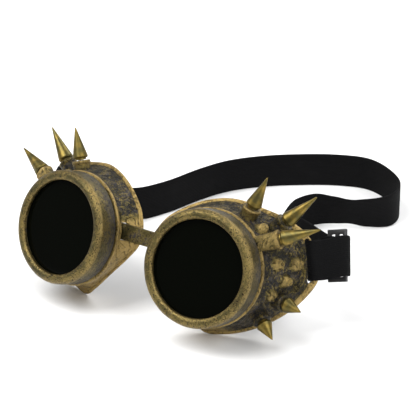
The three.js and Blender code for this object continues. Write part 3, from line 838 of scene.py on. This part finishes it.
MAKERS = {
    "antique_brass": antique_brass,
    "aged_shell": aged_shell,
    "spike_brass": spike_brass,
    "dark_glass": dark_glass,
    "gasket_rubber": gasket_rubber,
    "screw_steel": screw_steel,
    "elastic_webbing": elastic_webbing,
    "black_plastic": black_plastic,
}


def material(name):
    """A finish, made once."""
    title = f"{name}_paint"
    made = bpy.data.materials.get(title)
    if made is None:
        made = MAKERS[name](title, bpy.context.scene.goggle_finishes)
    return made


# ---------------------------------------------------------------- cups


WALL_RUN = 32  # length of the flared wall where the strap's slot is, in millimetres


def cup_rows(cup):
    """The cup's section as (kind, a, b): rings by radius and depth, walls by station and proud."""
    rows = [("ring", cup.bore + 0.35, cup.neck_front), ("ring", cup.neck - 0.5, cup.neck_front)]
    turns = 26
    start = cup.neck_front + 0.4
    end = cup.ridge_front - 0.15
    rows += [("thread", cup.neck, start + (end - start) * i / turns) for i in range(turns + 1)]
    rows.append(("ring", cup.neck, cup.ridge_front))
    middle = (cup.ridge_front + cup.barrel_front) / 2
    half = (cup.barrel_front - cup.ridge_front) / 2
    for degrees in range(-90, 91, 18):
        bend = math.radians(degrees)
        proud = 0.35 * (1 - abs(math.cos(bend)) ** 0.5)
        rows.append(("ring", cup.ridge - proud - 0.02, middle + half * math.sin(bend)))
    rows.append(("ring", cup.barrel + 0.1, cup.barrel_front + 0.02))
    rim = cup.rim_width / WALL_RUN
    walls = 62
    rows += [("wall", 0.006 + (1 - rim - 0.006) * i / walls, 0) for i in range(walls)]
    beads = 10
    for i in range(beads + 1):
        bend = math.pi * i / beads
        station = 1 - rim + rim * (1 - math.cos(bend)) / 2
        rows.append(("bead", station, cup.rim_proud * math.sin(bend)))
    inside = [1, 0.94, 0.88, 0.8, 0.7, 0.6, 0.5, 0.4, 0.3, 0.2, 0.1, 0]
    rows.append(("wall_in", 1, -cup.rim_tuck - 0.5))
    rows += [("wall_in", station, -cup.wall) for station in inside]
    rows.append(("ring", cup.bore, cup.barrel_front))
    rows.append(("ring", cup.bore, cup.neck_front + 0.35))
    return rows


def lumps(wall, cup, points, station, angle):
    """Height of the knobs, ribs and hammered relief over the wall."""
    height = np.zeros(len(points))
    rough = np.array([noise.noise(Vector(p) * 0.9) for p in points])
    for knob_station, degrees in KNOBS:
        centre = np.array(wall.point(knob_station, math.radians(degrees)))
        away = np.linalg.norm(points - centre, axis=1) + rough * 0.45
        dome = 1 - smoothstep(0.35 * cup.knob_radius, cup.knob_radius, away)
        height = np.maximum(height, dome * (cup.knob_height + rough * 0.7))
    degrees = np.degrees(angle)
    beside = window(degrees, *RIB_SECTOR) * window(station, *RIB_STATIONS)
    ribs = 0.5 - 0.5 * np.cos(FULL_TURN * (station - FIRST_RIB) / RIB_PITCH)
    height += cup.rib_height * beside * (ribs - 0.35)
    broad = np.array([noise.noise(Vector(p) * 0.3) for p in points])
    smooth_nose = window(degrees, -170, -150, -62, -42)
    cast = cup.hammer * (rough * 0.6 + broad * 0.9) * (1 - 0.85 * smooth_nose)
    return height + cast * window(station, 0, 0.08, 0.84, 0.89)


def cup_blank(wall, cup):
    rows = cup_rows(cup)
    shape = spun([(1, i) for i in range(len(rows))], cup.facets)
    spots = np.array([v.co for v in shape.verts])
    angle = np.arctan2(spots[:, 0], spots[:, 2])
    row = np.rint(spots[:, 1]).astype(int)
    kind = np.array([r[0] for r in rows])[row]
    a = np.array([r[1] for r in rows])[row]
    b = np.array([r[2] for r in rows])[row]
    radius, depth = a.copy(), b.copy()
    thread = kind == "thread"
    wave = np.cos(FULL_TURN * b / cup.thread_pitch - angle)
    fade = smoothstep(cup.neck_front, cup.neck_front + 1, b)
    radius[thread] = (a - cup.thread_depth * fade * (0.5 - 0.5 * wave))[thread]
    walls = np.isin(kind, ["wall", "bead", "wall_in"])
    radius[walls], depth[walls] = wall.at(a[walls], angle[walls], b[walls])
    points = np.column_stack([radius * np.sin(angle), depth, radius * np.cos(angle)])
    outside = kind == "wall"
    lift = lumps(wall, cup, points[outside], a[outside], angle[outside])
    radius[outside] += lift
    points = np.column_stack([radius * np.sin(angle), depth, radius * np.cos(angle)])
    for vert, point in zip(shape.verts, points):
        vert.co = point
    bmesh.ops.recalc_face_normals(shape, faces=shape.faces)
    return shape


def boss(stud, one):
    """The post under a spike, with a rolled collar at its top."""
    collar = stud.boss + stud.collar
    profile = [
        (0, -one.depth),
        (stud.boss, -one.depth),
        (stud.boss, -stud.collar_height - 2 * stud.collar),
        (collar, -stud.collar_height),
        (collar, -stud.collar),
        (stud.boss, 0),
        (0, 0),
    ]
    return placed(spun(rounded(profile, 0.35), 40, closed=False), aimed(one.base, one.aim))


def placed(shape, place):
    bmesh.ops.transform(shape, matrix=place, verts=shape.verts)
    return shape


def screw_hole(stud, one):
    radius = stud.screw + stud.gap
    low = -one.depth - stud.head_height - 2  # well past the pad
    high = 1  # clear of the boss's top
    profile = [(0, low), (radius, low), (radius, high), (0, high)]
    return placed(spun(profile, 20, closed=False), aimed(one.base, one.aim))


SLOT_CORNER = 1.2  # rounding of a strap slot's corners
SLOT_CUT = 16  # how far a slot's cutting block reaches through the wall


def strap_slot(wall, strap):
    """The block that cuts the strap's slot."""
    back, around, outward = wall.directions(strap.slot_station, strap.slot_angle)
    if around.z < 0:
        around.negate()
    side = math.copysign(1, around.cross(back).dot(outward))
    around.rotate(Matrix.Rotation(side * strap.slot_tilt, 3, outward))
    back = (back - back.dot(around) * around).normalized()
    place = Matrix((outward, back, around)).transposed().to_4x4()
    place.translation = wall.point(strap.slot_station, strap.slot_angle)
    shape = block((SLOT_CUT, strap.slot_width, strap.slot_length), place)
    corners = []
    for edge in shape.edges:
        run = (edge.verts[0].co - edge.verts[1].co).normalized()
        if abs(run.dot(outward)) > 0.9:
            corners.append(edge)
    bmesh.ops.bevel(
        shape,
        geom=corners,
        offset=SLOT_CORNER,
        affect="EDGES",
        segments=3,
        profile=0.5,
        material=-1,
    )
    return shape


def bridge_slot(cup, strap):
    place = Matrix.Translation((-cup.barrel, strap.bridge_back, strap.bridge_rise))
    return block((SLOT_CUT, strap.bridge_depth, strap.bridge_height), place)


# Where brass covers the cup: the smooth nose side and the bottom, by degrees from straight up,
# and the bead at the rear, by station.
NOSE_SECTOR = (-178, -165, -75, -58)
BOTTOM_SECTOR = (150, 166, -164, -172)
RIM_BAND = (0.865, 0.905)
INSIDE = -1.2  # points further than this below the wall are on its inside, in millimetres


def brass_share(wall, cup, stud, found, points):
    """How much brass is brushed on each point of the cup, from its place and height."""
    angle = np.arctan2(points[:, 0], points[:, 2])
    radius = np.hypot(points[:, 0], points[:, 2])
    station = wall.station_of(points[:, 1], angle)
    proud = radius - wall.at(np.clip(station, 0, 1), angle)[0]
    degrees = np.degrees(angle)
    amount = 0.16 + 0.5 * smoothstep(0.15, 1.5, proud)
    nose = window(degrees, *NOSE_SECTOR)
    outer, inner = BOTTOM_SECTOR[:2], BOTTOM_SECTOR[2:]
    bottom = np.maximum(smoothstep(*outer, degrees), smoothstep(*inner, degrees))
    low_nose = np.maximum(nose, bottom)
    amount = np.maximum(amount, 0.85 * low_nose)
    ridge = (station < 0) & (radius > cup.barrel + 0.4)
    amount = np.where(ridge, 0.95, amount)
    groove = (station < 0.05) & ~ridge
    amount = np.where(groove, 0.02 + 0.3 * low_nose, amount)
    amount = np.maximum(amount, 0.98 * smoothstep(*RIM_BAND, station))
    inside = proud < INSIDE
    amount = np.where(inside & ~ridge, 0.05, amount)
    for one in found.values():
        offset = points - np.array(one.base)
        along = offset @ np.array(one.aim)
        away = np.linalg.norm(offset - np.outer(along, np.array(one.aim)), axis=1)
        on_boss = (away < stud.boss + 0.9) & (along > -one.lift - 0.5) & (proud > 0.8)
        amount = np.where(on_boss, one.polish + 0.12 * (along > -2.2), amount)
    return amount


class GOGGLES_OT_cups(bpy.types.Operator):
    """Build the two eye cups with their bosses, knobs, ribs and slots"""

    bl_idname = "goggles.cups"
    bl_label = "Eye cups"

    def execute(self, context):
        cup, bezel, stud, strap = cup_and_fittings(context)
        wall = Wall(cup)
        found = studs(wall, stud)
        bosses = [boss(stud, one) for one in found.values()]
        for shape in bosses:  # none of them reaches in front of the ridge
            bmesh.ops.bisect_plane(
                shape,
                geom=[*shape.verts, *shape.edges, *shape.faces],
                plane_co=(0, cup.ridge_front, 0),
                plane_no=(0, 1, 0),
                clear_inner=True,
            )
            bmesh.ops.holes_fill(shape, edges=shape.edges, sides=0)
        holes = [screw_hole(stud, one) for one in found.values()]
        slots = [strap_slot(wall, strap), bridge_slot(cup, strap)]
        whole = carved(
            cup_blank(wall, cup),
            [("UNION", gathered(bosses)), ("DIFFERENCE", gathered(holes + slots))],
        )
        points = np.array([v.co for v in whole.verts])
        store(whole, "brass", brass_share(wall, cup, stud, found, points))
        on_both_cups(whole, cup, bezel, "cup_shell", "frame", "aged_shell", "cup")
        return {"FINISHED"}


# ---------------------------------------------------------------- bezels, lenses and gaskets


def bezel_profile(bezel, wear_and_painted_light):
    """The bezel's section as (radius, depth), with how rubbed each point is in the given list,
    which also carries painted highlight and shade lines.
    """
    crest = bezel.opening + bezel.crest_inset
    front = bezel.lip_front - bezel.crest_rise
    quarter = math.pi / 2
    rows = []
    steps = 10
    # Front face: rubbed brighter towards the opening's edge, partly real rubbing and partly a
    # painted highlight line.
    for i in range(steps):
        bend = quarter * i / steps
        radius = crest - bezel.crest_inset * math.cos(bend)
        rows.append((radius, bezel.lip_front - bezel.crest_rise * math.sin(bend)))
        wear_and_painted_light.append(1.12 - 0.25 * i / steps)
    # Shoulder: rubbed brighter towards the side wall, partly real rubbing and partly a painted
    # highlight, and a little less where it meets the side wall.
    for i in range(steps + 1):
        bend = quarter * i / steps
        radius = crest + (bezel.radius - crest) * math.sin(bend)
        rows.append((radius, front + bezel.shoulder * (1 - math.cos(bend))))
        wear_and_painted_light.append(0.9 + 0.15 * math.sin(bend) - 0.2 * (i == steps))
    side_start = front + bezel.shoulder
    side_steps = 14
    side_end = bezel.back - 0.8
    for i in range(1, side_steps + 1):
        t = i / side_steps
        rows.append((bezel.radius, side_start + (side_end - side_start) * t))
        wear_and_painted_light.append(0.82 - 0.46 * t)
    # Rear edge and thread mouth: set almost unrubbed so they paint as dark shell, a painted shade
    # line in the gap before the ridge.
    for inset, before in ((0.25, 0.2), (0.8, 0)):
        rows.append((bezel.radius - inset, bezel.back - before))
        wear_and_painted_light.append(0.06)
    rows.append((bezel.thread + 0.4, bezel.back))
    wear_and_painted_light.append(0.1)
    turns = 16
    for i in range(turns + 1):
        depth = bezel.back - 0.4 - (bezel.back - 0.6 - bezel.gasket_front) * i / turns
        rows.append((bezel.thread, depth))
        wear_and_painted_light.append(0.3)
    for radius, depth in (
        (bezel.thread, bezel.gasket_front),
        (bezel.seat, bezel.gasket_front),
        (bezel.seat, bezel.lip_back),
        (bezel.opening + 0.2, bezel.lip_back),
        (bezel.opening, bezel.lip_back - 0.2),
    ):
        rows.append((radius, depth))
        wear_and_painted_light.append(0.5)
    return rows


class GOGGLES_OT_bezels(bpy.types.Operator):
    """Build the two screw-on bezels"""

    bl_idname = "goggles.bezels"
    bl_label = "Bezels"

    def execute(self, context):
        cup, bezel = cup_and_fittings(context)[:2]
        rows_wear_and_painted_light = []
        rows = bezel_profile(bezel, rows_wear_and_painted_light)
        shape = spun(rows, bezel.facets)
        profile = np.array(rows)
        wear_and_painted_light = []
        for vert in shape.verts:
            radius = math.hypot(vert.co.x, vert.co.z)
            nearest = np.argmin(np.hypot(profile[:, 0] - radius, profile[:, 1] - vert.co.y))
            wear_and_painted_light.append(rows_wear_and_painted_light[nearest])
            if radius > bezel.opening + 1:
                bend = noise.noise(vert.co * 0.16) * 0.1 + noise.noise(vert.co * 0.6) * 0.03
                outer = smoothstep(bezel.radius - 2, bezel.radius, radius)
                vert.co.x *= 1 + bend * outer / radius
                vert.co.z *= 1 + bend * outer / radius
        store(shape, "wear_and_painted_light", wear_and_painted_light)
        body = "{side}_bezel"
        on_both_cups(shape, cup, bezel, "bezel_ring", body, "antique_brass", "bezel")
        return {"FINISHED"}


GLASS_EASE = 0.3  # rounding of the edges of lenses and gaskets
GASKET_FACETS = 96


class GOGGLES_OT_lenses(bpy.types.Operator):
    """Build the two lenses and the gaskets behind them"""

    bl_idname = "goggles.lenses"
    bl_label = "Lenses and gaskets"

    def execute(self, context):
        cup, bezel = cup_and_fittings(context)[:2]
        lens = [
            (0, bezel.lens_front),
            (bezel.opening - 4, bezel.lens_front),
            (bezel.lens_radius, bezel.lens_front),
            (bezel.lens_radius, bezel.lens_back),
            (0, bezel.lens_back),
        ]
        inner = bezel.lens_radius - bezel.gasket_width
        ring = [
            (inner, bezel.gasket_front),
            (bezel.lens_radius, bezel.gasket_front),
            (bezel.lens_radius, bezel.gasket_back),
            (inner, bezel.gasket_back),
        ]
        for side in SIDES:
            place = cup_place(side, cup, bezel)
            disc = spun(rounded(lens, GLASS_EASE), bezel.facets, closed=False)
            glass = add_piece(disc, f"{side}_lens_disc", material("dark_glass"), place)
            stand_for(glass, f"{side}_lens_pack", "dark_glass", f"{side}_lens")
            seal = spun(rounded(ring, GLASS_EASE), GASKET_FACETS)
            rubber = add_piece(seal, f"{side}_gasket_ring", material("gasket_rubber"), place)
            stand_for(rubber, f"{side}_lens_pack", "gasket_rubber", f"{side}_gasket")
        return {"FINISHED"}


# ---------------------------------------------------------------- spikes and screws


def spike_shape(stud, one):
    height = one.height
    hole = stud.screw + stud.gap
    grip = stud.grip + stud.gap
    cone = height - stud.tip
    wide = stud.neck_height + stud.butt
    profile = [
        (0, grip),
        (hole, grip),
        (hole, 0),
        (stud.neck, 0),
        (stud.neck, stud.neck_height),
        (stud.spike - stud.butt_inset - 0.15, stud.neck_height),
        (stud.spike - stud.butt_inset, stud.neck_height + 0.15),
        (stud.spike - 0.04, wide - 0.2),
        (stud.spike, wide),
        (stud.spike - 0.08, wide + 0.25),
    ]
    steps = 14
    for i in range(1, steps + 1):
        t = i / steps
        profile.append((stud.spike + (stud.tip - stud.spike) * t, wide + (cone - wide) * t))
    profile += [(stud.tip * 0.7, height - 0.12), (0, height)]
    return spun(profile, stud.facets, closed=False)


def screw_shape(stud, one):
    top = one.depth + 2 * stud.gap + stud.grip
    head = stud.head_height
    profile = [
        (0, -head),
        (0.55 * stud.head, -head),
        (0.85 * stud.head, -0.72 * head),
        (stud.head, -0.3 * head),
        (stud.head, 0),
        (stud.screw, 0),
        (stud.screw, top - 0.5),
        (stud.screw - 0.4, top),
        (0, top),
    ]
    shape = spun(profile, 28, closed=False)
    place = Matrix.Translation((0, -head, 0))
    groove = block((3 * stud.head, 2 * stud.slot_depth, stud.slot_width), place)
    return carved(shape, [("DIFFERENCE", groove)])


def at_each_boss(context, piece, finish, suffix, shape_of, lift_of):
    """Adds a piece on the axis of each of the ten bosses."""
    cup, bezel, stud = cup_and_fittings(context)[:3]
    for side in SIDES:
        place = cup_place(side, cup, bezel)
        for name, one in studs(Wall(cup), stud).items():
            seat = place @ aimed(one.base + lift_of(stud, one) * one.aim, one.aim)
            shape = shape_of(stud, one)
            made = add_piece(shape, f"{side}_{name}_{piece}", material(finish), seat)
            stand_for(made, "frame", finish, f"{side}_{name}{suffix}")


class GOGGLES_OT_spikes(bpy.types.Operator):
    """Build the ten spikes"""

    bl_idname = "goggles.spikes"
    bl_label = "Spikes"

    def execute(self, context):
        at_each_boss(context, "cone", "spike_brass", "", spike_shape, lambda stud, one: stud.gap)
        return {"FINISHED"}


class GOGGLES_OT_screws(bpy.types.Operator):
    """Build the screws that hold the spikes from inside the cups"""

    bl_idname = "goggles.screws"
    bl_label = "Screws"

    def execute(self, context):
        def lift(stud, one):
            return -(one.depth + stud.gap)

        at_each_boss(context, "pin", "screw_steel", "_screw", screw_shape, lift)
        return {"FINISHED"}


# ---------------------------------------------------------------- bridge and slider


def eased(name, rounding, limit=20):
    """A CAD node's shape with its flats joined and its sharp edges rounded, in metres."""
    shape = merged_node(name)
    bmesh.ops.dissolve_limit(
        shape, angle_limit=math.radians(2), verts=shape.verts, edges=shape.edges
    )
    sharp = [e for e in shape.edges if e.is_manifold and e.calc_face_angle() > math.radians(limit)]
    bmesh.ops.bevel(
        shape,
        geom=sharp,
        offset=rounding * MM,
        affect="EDGES",
        segments=3,
        profile=0.5,
        material=-1,
        clamp_overlap=True,
    )
    bmesh.ops.triangulate(shape, faces=[f for f in shape.faces if len(f.verts) > 4])
    return shape


BRIDGE_WEAR = 0.72  # how rubbed its paint is


class GOGGLES_OT_bridge(bpy.types.Operator):
    """Build the moulded bridge between the cups"""

    bl_idname = "goggles.bridge"
    bl_label = "Bridge"

    def execute(self, context):
        shape = eased("bridge", sizes_of(context.scene.goggle_strap).rounding)
        store(shape, "wear_and_painted_light", [BRIDGE_WEAR] * len(shape.verts))
        strip = add_piece(shape, "bridge_strip", material("antique_brass"))
        stand_for(strip, "frame", "antique_brass", "bridge")
        return {"FINISHED"}


class GOGGLES_OT_slider(bpy.types.Operator):
    """Build the three-bar slider of the strap"""

    bl_idname = "goggles.slider"
    bl_label = "Slider"

    def execute(self, context):
        shape = eased("strap_slider", sizes_of(context.scene.goggle_strap).rounding)
        buckle = add_piece(shape, "slider_frame", material("black_plastic"))
        stand_for(buckle, "slider", "black_plastic", "strap_slider")
        return {"FINISHED"}


# ---------------------------------------------------------------- strap


def layers_from(cap):
    """The strap's cross-sections in order, walking from one end's four corners."""
    seen = set(cap)
    rows = [list(cap)]
    while True:
        ahead = {e.other_vert(v) for v in rows[-1] for e in v.link_edges} - seen
        if not ahead:
            return rows
        seen |= ahead
        rows.append(list(ahead))


def strap_rows(shape):
    """Finds the end from which every step meets four new corners."""
    total = len(shape.verts) // 4
    for face in shape.faces:
        longest = max(face.edges, key=lambda e: e.calc_length())
        for other in longest.link_faces:
            cap = set(face.verts) | set(other.verts)
            if other is face or len(cap) != 4:
                continue
            rows = layers_from(cap)
            if len(rows) == total and all(len(row) == 4 for row in rows):
                return [[v.co.copy() for v in row] for row in rows]
    raise RuntimeError("the strap's cross-sections can't be told apart")


def strap_route(rows):
    """Centres and width directions, in millimetres."""
    centres, widths = [], []
    for row in rows:
        first = row[0]
        near = min(row[1:], key=lambda p: (p - first).length)
        far = [p for p in row[1:] if p is not near]
        across = (first + near) / 2 - (far[0] + far[1]) / 2
        across.normalize()
        if widths and across.dot(widths[-1]) < 0:
            across.negate()
        centres.append(sum(row, Vector()) / 4 / MM)
        widths.append(across)
    return np.array(centres), np.array(widths)


def even_route(centres, widths, step):
    """The route resampled at even steps along its smooth curve."""
    fine = smooth_curve(np.hstack([centres, widths]), False, 12)
    spans = np.linalg.norm(np.diff(fine[:, :3], axis=0), axis=1)
    run = np.concatenate([[0], np.cumsum(spans)])
    wanted = np.linspace(0, run[-1], int(run[-1] / step) + 1)
    return wanted, np.column_stack([np.interp(wanted, run, fine[:, k]) for k in range(6)])


def strap_section(strap):
    """Half-round edges and flat faces, as (across, through) pairs."""
    half = strap.width / 2
    thick = strap.thickness / 2
    flat = [-0.86, -0.6, -0.3, 0, 0.3, 0.6, 0.86]
    section = [(half * x, thick) for x in flat]
    for degrees in (60, 25, -25, -60):
        bend = math.radians(degrees)
        section.append((half - strap.edge * (1 - math.cos(bend)), thick * math.sin(bend)))
    section += [(half * x, -thick) for x in reversed(flat)]
    for degrees in (-60, -25, 25, 60):
        bend = math.radians(degrees)
        section.append((-half + strap.edge * (1 - math.cos(bend)), thick * math.sin(bend)))
    return section


def webbing(strap, run, route):
    """A closed band along a stretch of the route, with its weave's UV map."""
    section = strap_section(strap)
    shape = bmesh.new()
    along = np.gradient(route[:, :3], axis=0)
    rings = []
    for spot, forward in zip(route, along):
        centre = Vector(spot[:3])
        forward = Vector(forward).normalized()
        across = Vector(spot[3:])
        across = (across - across.dot(forward) * forward).normalized()
        face = across.cross(forward)
        rings.append([shape.verts.new(centre + across * x + face * y) for x, y in section])
    edges = [
        [shape.edges.new((ring[i - 1], ring[i])) for i in range(len(ring))] for ring in rings
    ]
    uv = shape.loops.layers.uv.new("weave")
    place = {}
    for distance, ring in zip(run, rings):
        for vert, (x, y) in zip(ring, section):
            place[vert] = (distance * MM, x * MM)
    for a, b in zip(edges, edges[1:]):
        bmesh.ops.bridge_loops(shape, edges=a + b)
    for ring in (rings[0], rings[-1]):
        bmesh.ops.contextual_create(shape, geom=ring)
    for face in shape.faces:
        for loop in face.loops:
            loop[uv].uv = place[loop.vert]
    bmesh.ops.recalc_face_normals(shape, faces=shape.faces)
    bmesh.ops.triangulate(shape, faces=[f for f in shape.faces if len(f.verts) > 4])
    return placed(shape, Matrix.Scale(MM, 4))


NEAR_SLIDER = 25  # an end of the strap within this distance of the slider is its sewn loop

# Distances from the slot towards the slider in front, and a length along a level direction in the
# run behind it;
# the ends they give are worked out but not used.
FRONT_YIELD = (3, 12)
RUN_YIELD = 40
INWARDS = np.array([-0.6, 0.8, 0])


class GOGGLES_OT_strap(bpy.types.Operator):
    """Build the elastic strap on its route through the slots and the slider"""

    bl_idname = "goggles.strap"
    bl_label = "Strap"

    def execute(self, context):
        strap = sizes_of(context.scene.goggle_strap)
        rows = strap_rows(merged_node("strap"))
        centres, widths = strap_route(rows)
        low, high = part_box("strap_slider")
        buckle = np.array((low + high) / 2) / MM
        near = [np.linalg.norm(centres[i] - buckle) < NEAR_SLIDER for i in (0, -1)]
        if near[1] and not near[0]:
            centres, widths = centres[::-1], widths[::-1]
        run, route = even_route(centres, widths, strap.step)
        away = np.linalg.norm(route[:, :3] - buckle, axis=1)
        split = int(np.flatnonzero(away < strap.split_reach)[-1])
        slot = route[int(np.argmax(away[: split + 1])), :3]
        towards = (buckle - slot) / np.linalg.norm(buckle - slot)
        front_ends = [slot + distance * towards for distance in FRONT_YIELD]
        run_ends = [route[split, :3], route[split, :3] + RUN_YIELD * INWARDS]
        stretches = {
            "strap_front": (np.s_[: split + 1], ("frame", "slider"), front_ends),
            "strap_run": (np.s_[split:], ("slider", "frame"), run_ends),
        }
        for name, (part, bodies, ends) in stretches.items():
            shape = webbing(strap, run[part], route[part])
            band = add_piece(shape, name, material("elastic_webbing"), sharp=60)
            start, end = ends
            tuple(start * MM)
            tuple(end * MM)
            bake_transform(band)
            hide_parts("strap")
        return {"FINISHED"}


# ---------------------------------------------------------------- stage


# Each light's place and size in metres, and its power in watts.
LIGHTS = {
    "key": ((-0.5, -0.75, 1.35), 1.0, 30),
    "fill": ((1.1, -0.3, 0.8), 0.9, 12),
    "back": ((0.1, 1.1, 1.1), 1.0, 16),
}
LIT_POINT = (0, -0.04, 0.03)
SENSOR_WIDTH = 36

# From the middle of the two lenses to the point the camera looks at, in millimetres.
AIM_FROM_LENSES = (28.395, 28.503, 16.835)


def area_light(name, spot, size, power):
    data = bpy.data.lights.new(name, "AREA")
    data.shape = "SQUARE"
    data.size = size
    data.energy = power
    lamp = bpy.data.objects.new(name, data)
    lamp.location = spot
    lamp.rotation_euler = (Vector(LIT_POINT) - Vector(spot)).to_track_quat("-Z", "Y").to_euler()
    bpy.context.scene.collection.objects.link(lamp)


class GOGGLES_OT_stage(bpy.types.Operator):
    """Set out the pale floor, the soft studio lights and the camera"""

    bl_idname = "goggles.stage"
    bl_label = "Stage"

    def execute(self, context):
        scene = context.scene
        stage = scene.goggle_stage
        ground = bmesh.new()
        bmesh.ops.create_grid(ground, x_segments=1, y_segments=1, size=3)
        paint = Paint("floor_paint")
        mottle = paint.noise(40, 2, 0.5)
        tint = paint.blend(mottle * 0.03, tuple(stage.floor), tone(stage.floor, 0.97))
        floor = add_piece(ground, "floor", paint.finish(Base_Color=tint, Roughness=0.85))

        world = bpy.data.worlds.new("studio")
        world.use_nodes = True
        sky = world.node_tree.nodes["Background"]
        sky.inputs["Color"].default_value = (1, 1, 1, 1)
        sky.inputs["Strength"].default_value = stage.sky
        scene.world = world
        scene.view_settings.view_transform = "Standard"
        for name, (spot, size, power) in LIGHTS.items():
            area_light(name, spot, size, power)

        view = bpy.data.cameras.new("view")
        view.sensor_width = SENSOR_WIDTH
        view.lens = stage.focal
        view.clip_start = 0.05
        camera = bpy.data.objects.new("view", view)
        turn, rise = stage.azimuth, stage.elevation
        away = Vector(
            (math.sin(turn) * math.cos(rise), -math.cos(turn) * math.cos(rise), math.sin(rise))
        )
        lens_middle = sum((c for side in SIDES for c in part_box(f"{side}_lens")), Vector()) / 4
        aim = lens_middle + Vector(AIM_FROM_LENSES) * MM
        camera.location = aim + away * stage.distance
        camera.rotation_euler = away.to_track_quat("Z", "Y").to_euler()
        scene.collection.objects.link(camera)
        scene.camera = camera
        return {"FINISHED"}


STEPS = [
    GOGGLES_OT_cups,
    GOGGLES_OT_bezels,
    GOGGLES_OT_lenses,
    GOGGLES_OT_spikes,
    GOGGLES_OT_screws,
    GOGGLES_OT_bridge,
    GOGGLES_OT_slider,
    GOGGLES_OT_strap,
    GOGGLES_OT_stage,
]


class GOGGLES_PT_parts(bpy.types.Panel):
    """Lists the pieces and their sizes"""

    bl_idname = "GOGGLES_PT_parts"
    bl_label = "Spiked Goggles"
    bl_space_type = "VIEW_3D"
    bl_region_type = "UI"
    bl_category = "Goggles"

    def draw(self, context):
        layout = self.layout
        for step in STEPS:
            layout.operator(step.bl_idname)
        for key, group in GROUPS.items():
            box = layout.box()
            box.label(text=group.__doc__)
            for name in group.__annotations__:
                box.prop(getattr(context.scene, key), name)


CLASSES = [*GROUPS.values(), *STEPS, GOGGLES_PT_parts]


def register():
    for cls in CLASSES:
        bpy.utils.register_class(cls)
    for key, group in GROUPS.items():
        setattr(bpy.types.Scene, key, PointerProperty(type=group))


def unregister():
    for key in GROUPS:
        delattr(bpy.types.Scene, key)
    for cls in reversed(CLASSES):
        bpy.utils.unregister_class(cls)


def main():
    register()
    for step in STEPS:
        family, name = step.bl_idname.split(".")
        getattr(getattr(bpy.ops, family), name)()


if __name__ == "__main__":
    main()
